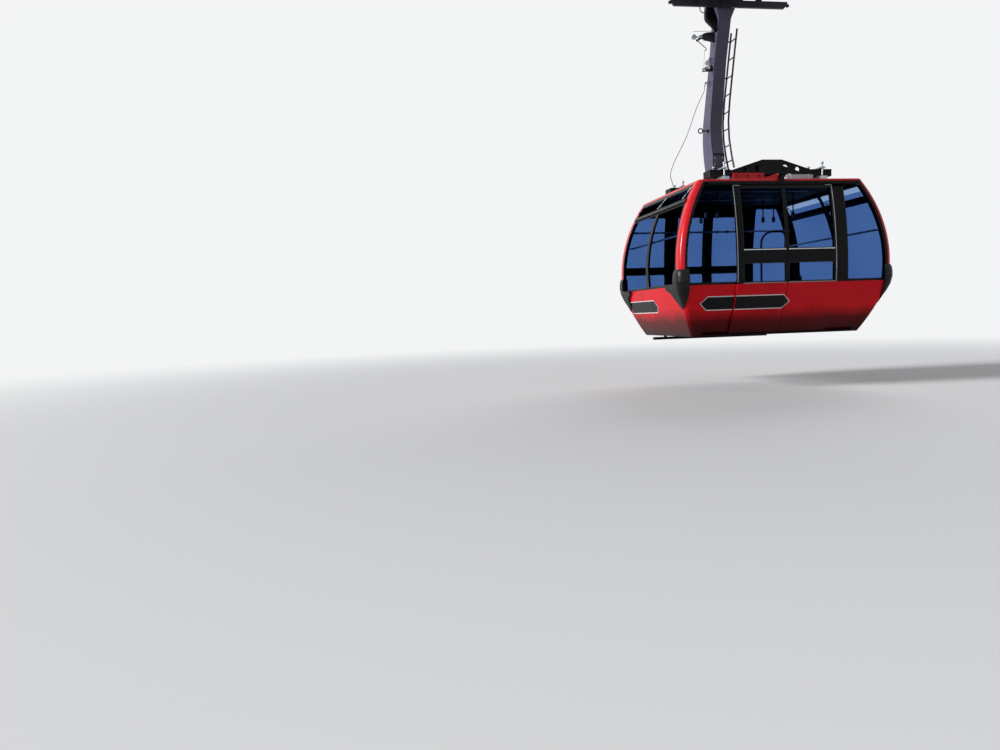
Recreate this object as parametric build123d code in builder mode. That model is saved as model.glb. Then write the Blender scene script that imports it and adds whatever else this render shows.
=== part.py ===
# Cabin of a three-rope gondola lift with its eight-wheel carriage and hanger arm.
# Millimetres. +X runs along the ropes, the doors face -Y, +Z is up.
# The origin is the centre of the haul rope in the grip.
import os
from math import cos, pi, radians, sin, sqrt, tan

from build123d import *

os.makedirs("parts", exist_ok=True)

# Heights, counted from the cabin's underside
rope_height = 6660.0
floor_h = 110.0
sill_h = 907.0
waist_h = 1250.0
rim_h = 2750.0
roof_depth = 50.0
roof_low_h = rim_h - roof_depth

# Half sizes of the barrel-shaped body
waist_x = 2010.0
waist_y = 1655.0
rim_x = 1545.0
rim_y = 1455.0
bottom_x = 1625.0
bottom_y = 1240.0
tub_bulge = 35.0
corner_r = 100.0

# Walls and clearances
wall = 45.0
seam = 0.4
seat = 0.3
glass_in = 4.0
glass_t = 10.0
move_gap = 8.0
reach = 2600.0

# Window band
pillar_side_w = 90.0
pillar_end_w = 190.0
frame_edge = 30.0
window_low_h = sill_h + 28
window_high_h = roof_low_h - 60
low_window_high_h = rim_h - 270
window_r = 45.0
near_post_left = -955.0
near_post_right = 1130.0
far_post_in = 750.0
far_post_out = 1010.0
mullion_x = -50.0
mullion_half = 95.0
band_low_h = 1285.0
band_high_h = 1418.0
end_glass_top_h = rim_h - 400
end_mullion_half = 45.0
ledge_low_h = rim_h - 370
ledge_high_h = rim_h - 310
ledge_t = 28.0
vent_low_h = rim_h - 295
vent_high_h = rim_h - 112
vent_rib_half = 22.0
vent_r = 12.0
flap_high_h = rim_h - 190
flap_t = 8.0

# Sliding door
door_x = -40.0
door_half = 935.0
door_opening_left = -850.0
door_opening_right = 870.0
track_high_h = roof_low_h - 4
track_low_h = track_high_h - 54
door_low_h = 45.0
door_high_h = track_low_h - 10
door_opening_top_h = door_high_h - 37
leaf_t = 40.0
leaf_meet = 4.0
left_stile = 110.0
right_stile = 25.0
meeting_stile = 12.0
door_band_low_h = 1270.0
door_band_high_h = 1500.0
door_window_low_h = sill_h + 20
door_window_high_h = door_high_h - 42
track_half = 1440.0
track_t = 5.0
hanger_tab_l = 90.0
hanger_tab_t = 14.0
hangers_x = (160.0, 500.0)
roller_r = 18.0
roller_half = 19.0
roller_spread = 28.0
slot_half = hanger_tab_t / 2 + 5

# Carriage
track_gauge = 800.0
track_rope_r = 28.0
haul_rope_r = 23.0
track_rise = 60.0
wheel_r = 160.0
wheel_groove_r = 130.0
wheel_w = 100.0
wheel_bore_r = 30.0
wheel_pitch = 420.0
rocker_pitch = 1240.0
rocker_t = 16.0
side_beam_y = 520.0
side_beam_w = 60.0
side_beam_low = -190.0
side_beam_high = -60.0
side_beam_half = 1225.0
cross_beam_half = 150.0
cross_beam_low = 170.0
cross_beam_high = 390.0
inner_beam_y = 280.0
inner_beam_w = 50.0
pivot_z = 280.0
pivot_r = 55.0
pivot_gap = 0.08

# Hanger arm
arm_half = 130.0
head_in_y = 610.0
head_out_y = 900.0
head_joint_h = rope_height - 320
head_neck_z = 100.0
head_half = 280.0

# Roof suspension
arch_out_y = 1080.0
arch_in_y = 800.0
arch_t = 20.0
mount_x = 950.0
rod_r = 13.0
rod_in_y = 715.0
rod_out_y = 1165.0


def up(h):
    """Height above the cabin's underside, as a Z of the frame."""
    return h - rope_height


def bow(waist, rim, h):
    """Half size on the arc that leaves the waist upright and meets the rim."""
    drop = waist - rim
    r = ((rim_h - waist_h) ** 2 + drop**2) / (2 * drop)
    return waist - r + sqrt(r**2 - (h - waist_h) ** 2)


def tub(waist, rim, bottom, h):
    """Half size of the lower panels, which lean in below the sill."""
    t = h / sill_h
    return bottom + (bow(waist, rim, sill_h) - bottom) * t + tub_bulge * 4 * t * (1 - t)


def half_x(h):
    if h >= sill_h:
        return bow(waist_x, rim_x, h)
    return tub(waist_x, rim_x, bottom_x, h)


def half_y(h):
    if h >= sill_h:
        return bow(waist_y, rim_y, h)
    return tub(waist_y, rim_y, bottom_y, h)


def band(half, plane, low, high, inset, mode=Mode.ADD):
    """Prism across the body whose two flanks follow the barrel, moved in by inset."""
    mid = (low + high) / 2
    a, b, c = [(half(h) - inset, up(h)) for h in (low, mid, high)]
    with BuildSketch(plane) as outline:
        with BuildLine():
            ThreePointArc(a, b, c)
            ThreePointArc((-a[0], a[1]), (-b[0], b[1]), (-c[0], c[1]))
            Line(a, (-a[0], a[1]))
            Line(c, (-c[0], c[1]))
        make_face()
    return extrude(outline.sketch, amount=reach, both=True, mode=mode)


def side_band(low, high, inset, mode=Mode.ADD):
    """The stretch of the two long walls, and of all between them."""
    return band(half_x, Plane.XZ, low, high, inset, mode)


def end_band(low, high, inset, mode=Mode.ADD):
    """The stretch of the two end walls, and of all between them."""
    return band(half_y, Plane.YZ, low, high, inset, mode)


def body_solid(low, high, inset):
    """Solid barrel between two heights, with rounded corners, moved in by inset."""
    full_low, full_high = (0, sill_h) if high <= sill_h else (sill_h, rim_h)
    with BuildPart() as solid:
        side_band(full_low, full_high, inset)
        end_band(full_low, full_high, inset, Mode.INTERSECT)
        corners = [e for e in solid.edges() if e.bounding_box().size.Z > 0.9 * (full_high - full_low)]
        fillet(corners, corner_r - inset)
        if (low, high) != (full_low, full_high):
            block(-reach, reach, -reach, reach, up(low), up(high), Mode.INTERSECT)
    return solid.part


def body_wall(low, high, outer=0.0, inner=wall):
    """Ring of the barrel's wall between two insets."""
    return body_solid(low, high, outer) - body_solid(low, high, inner)


def block(x0, x1, y0, y1, z0, z1, mode=Mode.ADD):
    """Box by its corners."""
    with Locations(((x0 + x1) / 2, (y0 + y1) / 2, (z0 + z1) / 2)):
        return Box(abs(x1 - x0), abs(y1 - y0), abs(z1 - z0), mode=mode)


def bar(x, y, z, radius, length, axis, mode=Mode.ADD):
    """Round bar centred on a point, along X, Y or Z."""
    turn = {"X": (0, 90, 0), "Y": (90, 0, 0), "Z": (0, 0, 0)}[axis]
    with Locations((x, y, z)):
        return Cylinder(radius, length, rotation=turn, mode=mode)


def wall_cut(x0, x1, h0, h1, radius, amount, mode=Mode.SUBTRACT):
    """Cut with rounded corners through a long wall: the near one for a positive amount."""
    with BuildSketch(Plane.XZ) as hole:
        with Locations(((x0 + x1) / 2, (up(h0) + up(h1)) / 2)):
            RectangleRounded(x1 - x0, h1 - h0, radius)
    return extrude(hole.sketch, amount=amount, mode=mode)


def save(part, name):
    part.label = name
    export_step(part, f"parts/{name}.step")


# Upper wall ring, cut below into pillars and window frames
upper_low_h = sill_h + seam
upper_high_h = roof_low_h - seam
upper_wall = body_wall(upper_low_h, upper_high_h)
tub_wall = body_wall(0, sill_h)

# Corner pillars: the four rounded corners between sill and roof
with BuildPart() as corner_pillars:
    add(upper_wall)
    side_band(upper_low_h, upper_high_h, pillar_side_w, Mode.SUBTRACT)
    end_band(upper_low_h, upper_high_h, pillar_end_w, Mode.SUBTRACT)
save(corner_pillars.part, "corner_pillars")

# Near window frame: the door side, with a header over the door
side_inset = pillar_side_w + frame_edge
end_inset = pillar_end_w + frame_edge


def side_window(x0, x1, h0, h1, sign, mode=Mode.SUBTRACT):
    """Window of a long wall, clipped to the curve of the pillars beside it."""
    with BuildPart() as pane:
        wall_cut(x0, x1, h0, h1, window_r, -sign * reach, Mode.ADD)
        side_band(h0, h1, side_inset, Mode.INTERSECT)
    return add(pane.part, mode=mode)


# Windows of the long walls: low x, high x, low height, high height
mullion_left = mullion_x - mullion_half
mullion_right = mullion_x + mullion_half
far_windows = [
    (-waist_x, -far_post_out, window_low_h, band_low_h),
    (-waist_x, -far_post_out, band_high_h, low_window_high_h),
    (-far_post_in, mullion_left, window_low_h, band_low_h),
    (-far_post_in, mullion_left, band_high_h, low_window_high_h),
    (mullion_right, far_post_in, window_low_h, band_low_h),
    (mullion_right, far_post_in, band_high_h, low_window_high_h),
    (far_post_out, waist_x, window_low_h, window_high_h),
]
near_windows = [
    (near_post_right, waist_x, window_low_h, window_high_h),
    (-waist_x, near_post_left, window_low_h, window_high_h),
]

with BuildPart() as near_window_frame:
    add(upper_wall)
    side_band(upper_low_h, upper_high_h, pillar_side_w + seam, Mode.INTERSECT)
    block(-reach, reach, -reach, 0, up(0), up(rim_h), Mode.INTERSECT)
    block(door_opening_left, door_opening_right, -reach, 0, up(0), up(door_opening_top_h), Mode.SUBTRACT)
    for x0, x1, h0, h1 in near_windows:
        side_window(x0, x1, h0, h1, -1)
save(near_window_frame.part, "near_window_frame")

with BuildPart() as far_window_frame:
    add(upper_wall)
    side_band(upper_low_h, upper_high_h, pillar_side_w + seam, Mode.INTERSECT)
    block(-reach, reach, 0, reach, up(0), up(rim_h), Mode.INTERSECT)
    for x0, x1, h0, h1 in far_windows:
        side_window(x0, x1, h0, h1, 1)
save(far_window_frame.part, "far_window_frame")


def end_window(y0, y1, h0, h1, radius, mode=Mode.SUBTRACT):
    """Window through both end walls, clipped to the curve of the pillars beside it."""
    with BuildPart() as pane:
        with BuildSketch(Plane.YZ) as hole:
            with Locations(((y0 + y1) / 2, (up(h0) + up(h1)) / 2)):
                RectangleRounded(y1 - y0, h1 - h0, radius)
        extrude(hole.sketch, amount=reach, both=True)
        end_band(h0, h1, end_inset, Mode.INTERSECT)
    return add(pane.part, mode=mode)


end_halves = [(end_mullion_half, waist_y), (-waist_y, -end_mullion_half)]
vent_halves = [(vent_rib_half, waist_y), (-waist_y, -vent_rib_half)]

# End window frames: curved panes below, a proud ledge, and vents under the roof
with BuildPart() as end_window_frames:
    add(upper_wall)
    add(body_wall(ledge_low_h, ledge_high_h, -ledge_t, wall / 2))
    end_band(upper_low_h, upper_high_h, pillar_end_w + seam, Mode.INTERSECT)
    for y0, y1 in end_halves:
        end_window(y0, y1, window_low_h, end_glass_top_h, window_r)
    for y0, y1 in vent_halves:
        end_window(y0, y1, vent_low_h, vent_high_h, vent_r)
save(end_window_frames.part, "end_window_frames")

# Vent flaps: upright tinted panes that stand open on the sills of the vents
flap_x = half_x(vent_low_h) - 20
flap_in = vent_rib_half + vent_r
flap_out = half_y(flap_high_h) - end_inset - vent_r
with BuildPart() as vent_flaps:
    for sx in (-1, 1):
        for sy in (-1, 1):
            block(
                sx * (flap_x - flap_t), sx * flap_x, sy * flap_in, sy * flap_out, up(vent_low_h) + seat, up(flap_high_h)
            )
save(vent_flaps.part, "vent_flaps")

# Glass: curved panes set in the windows, a little behind the outer skin
glass_ring = body_wall(upper_low_h, upper_high_h, glass_in, glass_in + glass_t)


def side_glass(windows, sign):
    """Panes of one long wall, a seam smaller than their windows all round."""
    with BuildPart() as panes:
        for x0, x1, h0, h1 in windows:
            side_window(x0 + seam, x1 - seam, h0 + seam, h1 - seam, sign, Mode.ADD)
        side_band(window_low_h, window_high_h, side_inset + seam, Mode.INTERSECT)
    return panes.part & glass_ring


with BuildPart() as near_glass:
    add(side_glass(near_windows, -1))
save(near_glass.part, "near_glass")

with BuildPart() as far_glass:
    add(side_glass(far_windows, 1))
save(far_glass.part, "far_glass")

with BuildPart() as end_panes:
    for y0, y1 in end_halves:
        end_window(y0 + seam, y1 - seam, window_low_h + seam, end_glass_top_h - seam, window_r, Mode.ADD)
    end_band(window_low_h, end_glass_top_h, end_inset + seam, Mode.INTERSECT)
with BuildPart() as end_glass:
    add(end_panes.part & glass_ring)
save(end_glass.part, "end_glass")

# Tub: lower panels between floor and sill
with BuildPart() as end_lower_panels:
    add(tub_wall)
    side_band(0, sill_h, pillar_side_w, Mode.SUBTRACT)
save(end_lower_panels.part, "end_lower_panels")

with BuildPart() as far_lower_panel:
    add(tub_wall)
    side_band(0, sill_h, pillar_side_w + seam, Mode.INTERSECT)
    block(-reach, reach, 0, reach, up(0), up(sill_h), Mode.INTERSECT)
save(far_lower_panel.part, "far_lower_panel")

with BuildPart() as near_lower_panels:
    add(tub_wall)
    side_band(0, sill_h, pillar_side_w + seam, Mode.INTERSECT)
    block(-reach, reach, -reach, 0, up(0), up(sill_h), Mode.INTERSECT)
    block(door_opening_left, door_opening_right, -reach, 0, up(floor_h), up(sill_h), Mode.SUBTRACT)
save(near_lower_panels.part, "near_lower_panels")

# Floor: deck plate on a grid of beams
deck_t = 40.0
beam_w = 60.0
beam_low_h = 5.0
cross_beams_x = (-1350.0, -700.0, 0.0, 700.0, 1350.0)
long_beams_y = (-900.0, 0.0, 900.0)
with BuildPart() as cabin_floor:
    add(body_solid(floor_h - deck_t, floor_h, wall + seat))
    for x in cross_beams_x:
        block(x - beam_w / 2, x + beam_w / 2, -reach, reach, up(beam_low_h), up(floor_h - deck_t))
    for y in long_beams_y:
        block(-reach, reach, y - beam_w / 2, y + beam_w / 2, up(beam_low_h), up(floor_h - deck_t))
    add(body_solid(beam_low_h, floor_h, wall + seat), mode=Mode.INTERSECT)
save(cabin_floor.part, "cabin_floor")

# Roof: crowned skin with a deep rim, open underneath
roof_skin_t = 30.0
rim_fillet = 20.0
with BuildPart() as cabin_roof:
    add(body_solid(roof_low_h, rim_h, 0))
    fillet(cabin_roof.edges().group_by(Axis.Z)[-1], rim_fillet)
    add(body_solid(roof_low_h, rim_h - roof_skin_t, wall), mode=Mode.SUBTRACT)
save(cabin_roof.part, "cabin_roof")

# Raised housing on the roof, with sloping ends
fairing_half_x = 820.0
fairing_top_x = 560.0
fairing_half_y = 560.0
fairing_top_y = 500.0
fairing_high_h = rim_h + 105
with BuildPart() as roof_fairing:
    with BuildSketch(Plane.XY.offset(up(rim_h + seat))):
        RectangleRounded(2 * fairing_half_x, 2 * fairing_half_y, 60)
    with BuildSketch(Plane.XY.offset(up(fairing_high_h))):
        RectangleRounded(2 * fairing_top_x, 2 * fairing_top_y, 60)
    loft()
save(roof_fairing.part, "roof_fairing")

# Door leaves: outside the wall, parallel to it, each on two hangers in the track
leaf_in = -move_gap
leaf_out = -move_gap - leaf_t
leaf_low_h = door_low_h


def leaf_wall(low, high, outer, inner):
    """Stretch of the near wall's curve between two insets, along the whole side."""
    with BuildPart() as strip:
        end_band(low, high, outer)
        end_band(low, high, inner, Mode.SUBTRACT)
        block(door_x - door_half, door_x + door_half, -reach, 0, up(low), up(high), Mode.INTERSECT)
    return strip.part


upper_leaf = leaf_wall(upper_low_h, door_high_h, leaf_out, leaf_in)
lower_leaf = leaf_wall(leaf_low_h, sill_h, leaf_out, leaf_in)
leaf_glass = leaf_wall(upper_low_h, door_high_h, leaf_out + glass_in, leaf_out + glass_in + glass_t)
leaf_windows = [(door_window_low_h, door_band_low_h), (door_band_high_h, door_window_high_h)]
tab_y = -half_y(door_high_h) - move_gap - leaf_t / 2
tab_root = 5.0
roller_z = up(track_low_h) + track_t + seat + roller_r

for side, name, stile in ((-1, "left", left_stile), (1, "right", right_stile)):
    low_x, high_x = sorted((door_x + side * leaf_meet, door_x + side * door_half))
    glass_in_x = door_x + side * (leaf_meet + meeting_stile)
    glass_out_x = door_x + side * (door_half - stile)
    glass_low_x, glass_high_x = sorted((glass_in_x, glass_out_x))
    with BuildPart() as door_frame:
        add(upper_leaf)
        block(low_x, high_x, -reach, 0, up(0), up(rim_h), Mode.INTERSECT)
        for h0, h1 in leaf_windows:
            wall_cut(glass_low_x, glass_high_x, h0, h1, window_r, reach)
        for tab_x in [door_x + side * x for x in hangers_x]:
            tab_low_x = tab_x - hanger_tab_l / 2
            tab_low_y = tab_y - hanger_tab_t / 2
            tab_high_y = tab_y + hanger_tab_t / 2
            block(tab_low_x, tab_low_x + hanger_tab_l, tab_low_y, tab_high_y, up(door_high_h) - tab_root, roller_z)
            for x in (tab_x - roller_spread, tab_x + roller_spread):
                bar(x, tab_y, roller_z, roller_r, 2 * roller_half, "Y")
    save(door_frame.part, f"door_frame_{name}")
    with BuildPart() as door_panel:
        add(lower_leaf)
        block(low_x, high_x, -reach, 0, up(0), up(rim_h), Mode.INTERSECT)
    save(door_panel.part, f"door_panel_{name}")
    with BuildPart() as leaf_cut:
        for h0, h1 in leaf_windows:
            wall_cut(glass_low_x + seam, glass_high_x - seam, h0 + seam, h1 - seam, window_r, reach, Mode.ADD)
    with BuildPart() as door_glass:
        add(leaf_cut.part & leaf_glass)
    save(door_glass.part, f"door_glass_{name}")

# Door track: channel under the roof rim, open below, with the latch housing
track_in_y = -half_y(track_low_h) - seat
track_out_y = tab_y - 36
latch_low_x = door_x - 34
latch_high_x = door_x + 34
latch_high_h = rim_h + 50
latch_in_y = -half_y(track_high_h) - seat
latch_hook_y = -rim_y + 30
with BuildPart() as door_track:
    block(-track_half, track_half, track_out_y, track_in_y, up(track_low_h), up(track_high_h))
    block(-reach, reach, tab_y - slot_half, tab_y + slot_half, up(0), up(track_low_h) + track_t, Mode.SUBTRACT)
    block(
        -reach,
        reach,
        track_out_y + track_t,
        track_in_y - track_t,
        up(track_low_h) + track_t,
        up(track_high_h) - track_t,
        Mode.SUBTRACT,
    )
    block(latch_low_x, latch_high_x, track_out_y, latch_in_y, up(track_high_h), up(latch_high_h))
    block(latch_low_x, latch_high_x, latch_in_y, latch_hook_y, up(rim_h) + seat, up(latch_high_h))
save(door_track.part, "door_track")

# Step under the door, carried by the tub
step_half = 1460.0
step_low_h = 8.0
step_high_h = 30.0
with BuildPart() as door_step:
    end_band(step_low_h, step_high_h, leaf_out - 6)
    end_band(step_low_h, step_high_h, -seat, Mode.SUBTRACT)
    block(-step_half, step_half, -reach, 0, up(0), up(step_high_h), Mode.INTERSECT)
save(door_step.part, "door_step")

# Bumpers: rubber mouldings round the corners, thickest at the sill and thin below
bumper_table = [(400, 6), (620, 24), (720, 44), (850, 58), (980, 60), (1080, 50), (1150, 34), (1190, 12)]  # height, thickness
bumper_side_edge = [(1850, 1200), (1850, 700), (1880, 380)]  # x, height
bumper_end_edge = [(1420, 1200), (1400, 930), (1010, 905), (1010, 850), (1180, 790), (1300, 600), (1480, 380)]  # y, height
with BuildPart() as bumpers:
    for h, t in bumper_table:
        with BuildSketch(Plane.XY.offset(up(h))):
            RectangleRounded(2 * (half_x(h) + t), 2 * (half_y(h) + t), corner_r + t)
    loft(ruled=True)
    for plane, edge in ((Plane.XZ, bumper_side_edge), (Plane.YZ, bumper_end_edge)):
        with BuildSketch(plane) as between:
            with BuildLine():
                right = [(a, up(h)) for a, h in edge]
                Polyline(*right, *[(-a, z) for a, z in reversed(right)], close=True)
            make_face()
        extrude(between.sketch, amount=reach, both=True, mode=Mode.SUBTRACT)
    add(body_solid(0, sill_h, -seat), mode=Mode.SUBTRACT)
    add(body_solid(sill_h, rim_h, -seat), mode=Mode.SUBTRACT)
save(bumpers.part, "bumpers")

# Guide rail under the floor on the side of the hanger, on four feet
rail_low_x = -1480.0
rail_high_x = 1050.0
rail_y = 1140.0
rail_w = 80.0
rail_low_h = -105.0
rail_high_h = -50.0
rail_feet_x = (-1220.0, -450.0, 300.0, 930.0)
rail_foot_half = 25.0
with BuildPart() as guide_rail:
    block(rail_low_x, rail_high_x, rail_y - rail_w / 2, rail_y + rail_w / 2, up(rail_low_h), up(rail_high_h))
    foot_top = up(floor_h - deck_t) - seat
    for x in rail_feet_x:
        block(x - rail_foot_half, x + rail_foot_half, rail_y - 20, rail_y + 20, up(rail_high_h), foot_top)
save(guide_rail.part, "guide_rail")

# Benches along both end walls and the far wall
bench_h = 540.0
bench_t = 45.0
bench_base_t = 30.0
end_bench_in = 1330.0
end_bench_out = 1740.0
end_bench_half = 1180.0
far_bench_in = 1000.0
far_bench_out = 1390.0
far_bench_half = 1000.0
with BuildPart() as benches:
    for s in (-1, 1):
        block(s * end_bench_in, s * end_bench_out, -end_bench_half, end_bench_half, up(bench_h) - bench_t, up(bench_h))
        foot = s * (end_bench_in + 90)
        block(foot, foot + s * bench_base_t, -end_bench_half, end_bench_half, up(floor_h) + seat, up(bench_h) - bench_t)
    block(-far_bench_half, far_bench_half, far_bench_in, far_bench_out, up(bench_h) - bench_t, up(bench_h))
    block(
        -far_bench_half,
        far_bench_half,
        far_bench_in + 90,
        far_bench_in + 90 + bench_base_t,
        up(floor_h) + seat,
        up(bench_h) - bench_t,
    )
save(benches.part, "benches")

# Handrails along the far wall and both end walls, on stand-offs from the frames
grab_r = 20.0
far_grab_h = 2150.0
end_grab_h = 1820.0
grab_stand = 90.0
grab_end = 30.0
stand_r = 12.0


def wall_face(half, h):
    """Where a stand-off meets the leaning inner face of a wall, clear by the seat."""
    rise = half(h) - half(h + stand_r)
    return half(h) - wall - rise - seat


with BuildPart() as handrails:
    far_face = wall_face(half_y, far_grab_h)
    far_stand_x = half_x(far_grab_h) - side_inset + stand_r
    bar(0, far_face - grab_stand, up(far_grab_h), grab_r, 2 * (far_stand_x + grab_end), "X")
    for x in (-far_stand_x, (-far_post_in - far_post_out) / 2, mullion_x, (far_post_in + far_post_out) / 2, far_stand_x):
        bar(x, far_face - grab_stand / 2, up(far_grab_h), stand_r, grab_stand, "Y")
    end_face = wall_face(half_x, end_grab_h)
    end_stand_y = half_y(end_grab_h) - end_inset + stand_r
    for s in (-1, 1):
        bar(s * (end_face - grab_stand), 0, up(end_grab_h), grab_r, 2 * (end_stand_y + grab_end), "Y")
        for y in (-end_stand_y, 0, end_stand_y):
            bar(s * (end_face - grab_stand / 2), y, up(end_grab_h), stand_r, grab_stand, "X")
save(handrails.part, "handrails")

# Hoop rail standing on the floor beside the door
hoop_x0 = 200.0
hoop_x1 = 705.0
hoop_y = -300.0
hoop_high_h = 1950.0
hoop_r = 20.0
hoop_bend = 240.0
hoop_bend_out = 110.0
with BuildPart() as hoop_rail:
    low = up(floor_h) + seat
    high = up(hoop_high_h)
    arc_dip = 1 - cos(pi / 4)
    with BuildLine(Plane.XZ.offset(-hoop_y)) as hoop_path:
        Line((hoop_x0, low), (hoop_x0, high - hoop_bend))
        ThreePointArc(
            (hoop_x0, high - hoop_bend),
            (hoop_x0 + hoop_bend * arc_dip, high - hoop_bend * arc_dip),
            (hoop_x0 + hoop_bend, high),
        )
        Line((hoop_x0 + hoop_bend, high), (hoop_x1 - hoop_bend_out, high))
        ThreePointArc(
            (hoop_x1 - hoop_bend_out, high),
            (hoop_x1 - hoop_bend_out * arc_dip, high - hoop_bend_out * arc_dip),
            (hoop_x1, high - hoop_bend_out),
        )
        Line((hoop_x1, high - hoop_bend_out), (hoop_x1, low))
    with BuildSketch(Plane((hoop_x0, hoop_y, low))):
        Circle(hoop_r)
    sweep()
save(hoop_rail.part, "hoop_rail")

# Roof suspension: two pairs of arched plates, end boxes and the cross beam to the arm
arch_low_h = rim_h + 155
arch_end_high_h = rim_h + 215
arch_high_h = rim_h + 400
arch_flat_half = 190.0
arch_slope_half = 780.0
arch_half = 1180.0
end_box_in = 790.0
end_box_low_h = rim_h + 110
end_box_high_h = rim_h + 235
hole_table = [(262.0, 255.0, 62.0), (505.0, 235.0, 42.0)]  # x, height above the rim, radius
arm_beam_low_h = rim_h + 180
arm_beam_high_h = rim_h + 380
with BuildPart() as suspension_frame:
    for s in (-1, 1):
        for y in (arch_in_y, arch_out_y):
            plate_y = s * y
            with BuildSketch(Plane.XZ.offset(-plate_y)) as arch:
                with BuildLine():
                    Polyline(
                        (-arch_half, up(arch_low_h)),
                        (arch_half, up(arch_low_h)),
                        (arch_half, up(arch_end_high_h)),
                        (arch_slope_half, up(arch_end_high_h)),
                        (arch_flat_half, up(arch_high_h)),
                        (-arch_flat_half, up(arch_high_h)),
                        (-arch_slope_half, up(arch_end_high_h)),
                        (-arch_half, up(arch_end_high_h)),
                        close=True,
                    )
                make_face()
                for x, h, r in hole_table:
                    with Locations((x, up(rim_h + h)), (-x, up(rim_h + h))):
                        Circle(r, mode=Mode.SUBTRACT)
            extrude(arch.sketch, amount=arch_t / 2, both=True)
        for t in (-1, 1):
            block(
                t * end_box_in,
                t * arch_half,
                s * (arch_in_y - arch_t / 2),
                s * (arch_out_y + arch_t / 2),
                up(end_box_low_h),
                up(end_box_high_h),
            )
    block(-arm_half, arm_half, -arch_out_y, arch_out_y + arch_t / 2, up(arm_beam_low_h), up(arm_beam_high_h))
save(suspension_frame.part, "suspension_frame")

# Cabin mounts: pad on the roof, two rods past the end box, strap and domed nuts
mount_pad_high_h = rim_h + 95
pad_half = 70.0
pad_past = 45.0
strap_half = 45.0
strap_past = 35.0
strap_low_h = end_box_high_h + seat
strap_high_h = strap_low_h + 22
rod_top_h = rim_h + 335
rod_root = 10.0
nut_r = 27.0
with BuildPart() as cabin_mounts:
    for sx in (-1, 1):
        for sy in (-1, 1):
            x = sx * mount_x
            pad_ends = (sy * (rod_in_y - pad_past), sy * (rod_out_y + pad_past))
            strap_ends = (sy * (rod_in_y - strap_past), sy * (rod_out_y + strap_past))
            block(x - pad_half, x + pad_half, *pad_ends, up(rim_h) + seat, up(mount_pad_high_h))
            block(x - strap_half, x + strap_half, *strap_ends, up(strap_low_h), up(strap_high_h))
            rod_low_h = mount_pad_high_h - rod_root
            for y in (rod_in_y, rod_out_y):
                bar(x, sy * y, up((rod_low_h + rod_top_h) / 2), rod_r, rod_top_h - rod_low_h, "Z")
                with Locations((x, sy * y, up(rod_top_h))):
                    Sphere(nut_r)
save(cabin_mounts.part, "cabin_mounts")

# Hanger arm: curved box section on the far side, in the plane across the ropes
foot_in_y = arch_out_y + arch_t / 2 + seat
foot_out_y = 1240.0
arm_outer = [(1450, 0.072), (1570, 0.24), (1560, 0.396), (1200, 0.791), (1060, 1)]  # y, share of the rise
arm_inner = [(720, 1), (950, 0.766), (1190, 0.396), (1175, 0.287), (1092, 0.178)]  # y, share of the rise


def on_arm(share):
    """Z at a share of the arm's rise from the beam of the suspension frame to the head."""
    return up(arm_beam_high_h + share * (head_joint_h - arm_beam_high_h))


with BuildPart() as hanger_arm:
    with BuildSketch(Plane.YZ) as profile:
        with BuildLine():
            outer = [(y, on_arm(share)) for y, share in arm_outer]
            inner = [(y, on_arm(share)) for y, share in arm_inner]
            Polyline((foot_in_y, on_arm(0)), (foot_in_y, up(arm_beam_low_h)), (foot_out_y, up(arm_beam_low_h)), outer[0])
            ThreePointArc(*outer[:3])
            Polyline(*outer[2:], *inner[:3])
            ThreePointArc(*inner[2:])
            Line(inner[-1], (foot_in_y, on_arm(0)))
        make_face()
    extrude(profile.sketch, amount=arm_half, both=True)
save(hanger_arm.part, "hanger_arm")

# Hanger head: flares from the arm to the pivot hub beside the carriage
arm_top_in = arm_inner[0][0]
arm_top_out = arm_outer[-1][0]
with BuildPart() as hanger_head:
    with BuildSketch(Plane.XY.offset(up(head_joint_h) + seat)):
        with Locations((0, (arm_top_in + arm_top_out) / 2)):
            Rectangle(2 * arm_half, arm_top_out - arm_top_in)
    with BuildSketch(Plane.XY.offset(head_neck_z)):
        with Locations((0, (head_in_y + head_out_y) / 2)):
            Rectangle(2 * head_half, head_out_y - head_in_y)
    loft()
    with BuildSketch(Plane.XZ.offset(-head_out_y)) as hub:
        with Locations((0, (head_neck_z + pivot_z) / 2)):
            Rectangle(2 * head_half, pivot_z - head_neck_z)
        with Locations((0, pivot_z)):
            Circle(head_half)
    extrude(hub.sketch, amount=head_out_y - head_in_y)
    bar(0, (head_in_y + head_out_y) / 2, pivot_z, pivot_r + pivot_gap, 2 * reach, "Y", Mode.SUBTRACT)
save(hanger_head.part, "hanger_head")

# Ladder on the +X face of the arm
ladder_x = 290.0
ladder_w = 260.0
stringer_r = 19.0
rung_r = 13.0
ladder_line = [(990, 0.0935), (1095, 0.1776), (1200, 0.296), (1225, 0.408), (1150, 0.536), (930, 0.791), (790, 0.947)]
ladder_bend = 250.0
rungs = 8
stay_rungs = (0, 3, 5, 7)
stay_r = 14.0
stay_y = 0.1 * ladder_w
with BuildPart() as ladder:
    for dy in (0.0, ladder_w):
        with BuildLine(Plane.YZ.offset(ladder_x)) as stringer:
            FilletPolyline(*[(y + dy, on_arm(share)) for y, share in ladder_line], radius=ladder_bend)
        start = stringer.line @ 0
        with BuildSketch(Plane(start, z_dir=stringer.line % 0)) as section:
            Circle(stringer_r)
        sweep(section.sketch, path=stringer.line)
    for i in range(rungs):
        p = stringer.line @ ((i + 0.5) / rungs)
        bar(ladder_x, p.Y - ladder_w / 2, p.Z, rung_r, ladder_w, "Y")
        if i in stay_rungs:
            bar((arm_half + seat + ladder_x) / 2, p.Y - stay_y, p.Z, stay_r, ladder_x - arm_half - seat, "X")
save(ladder.part, "ladder")

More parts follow.
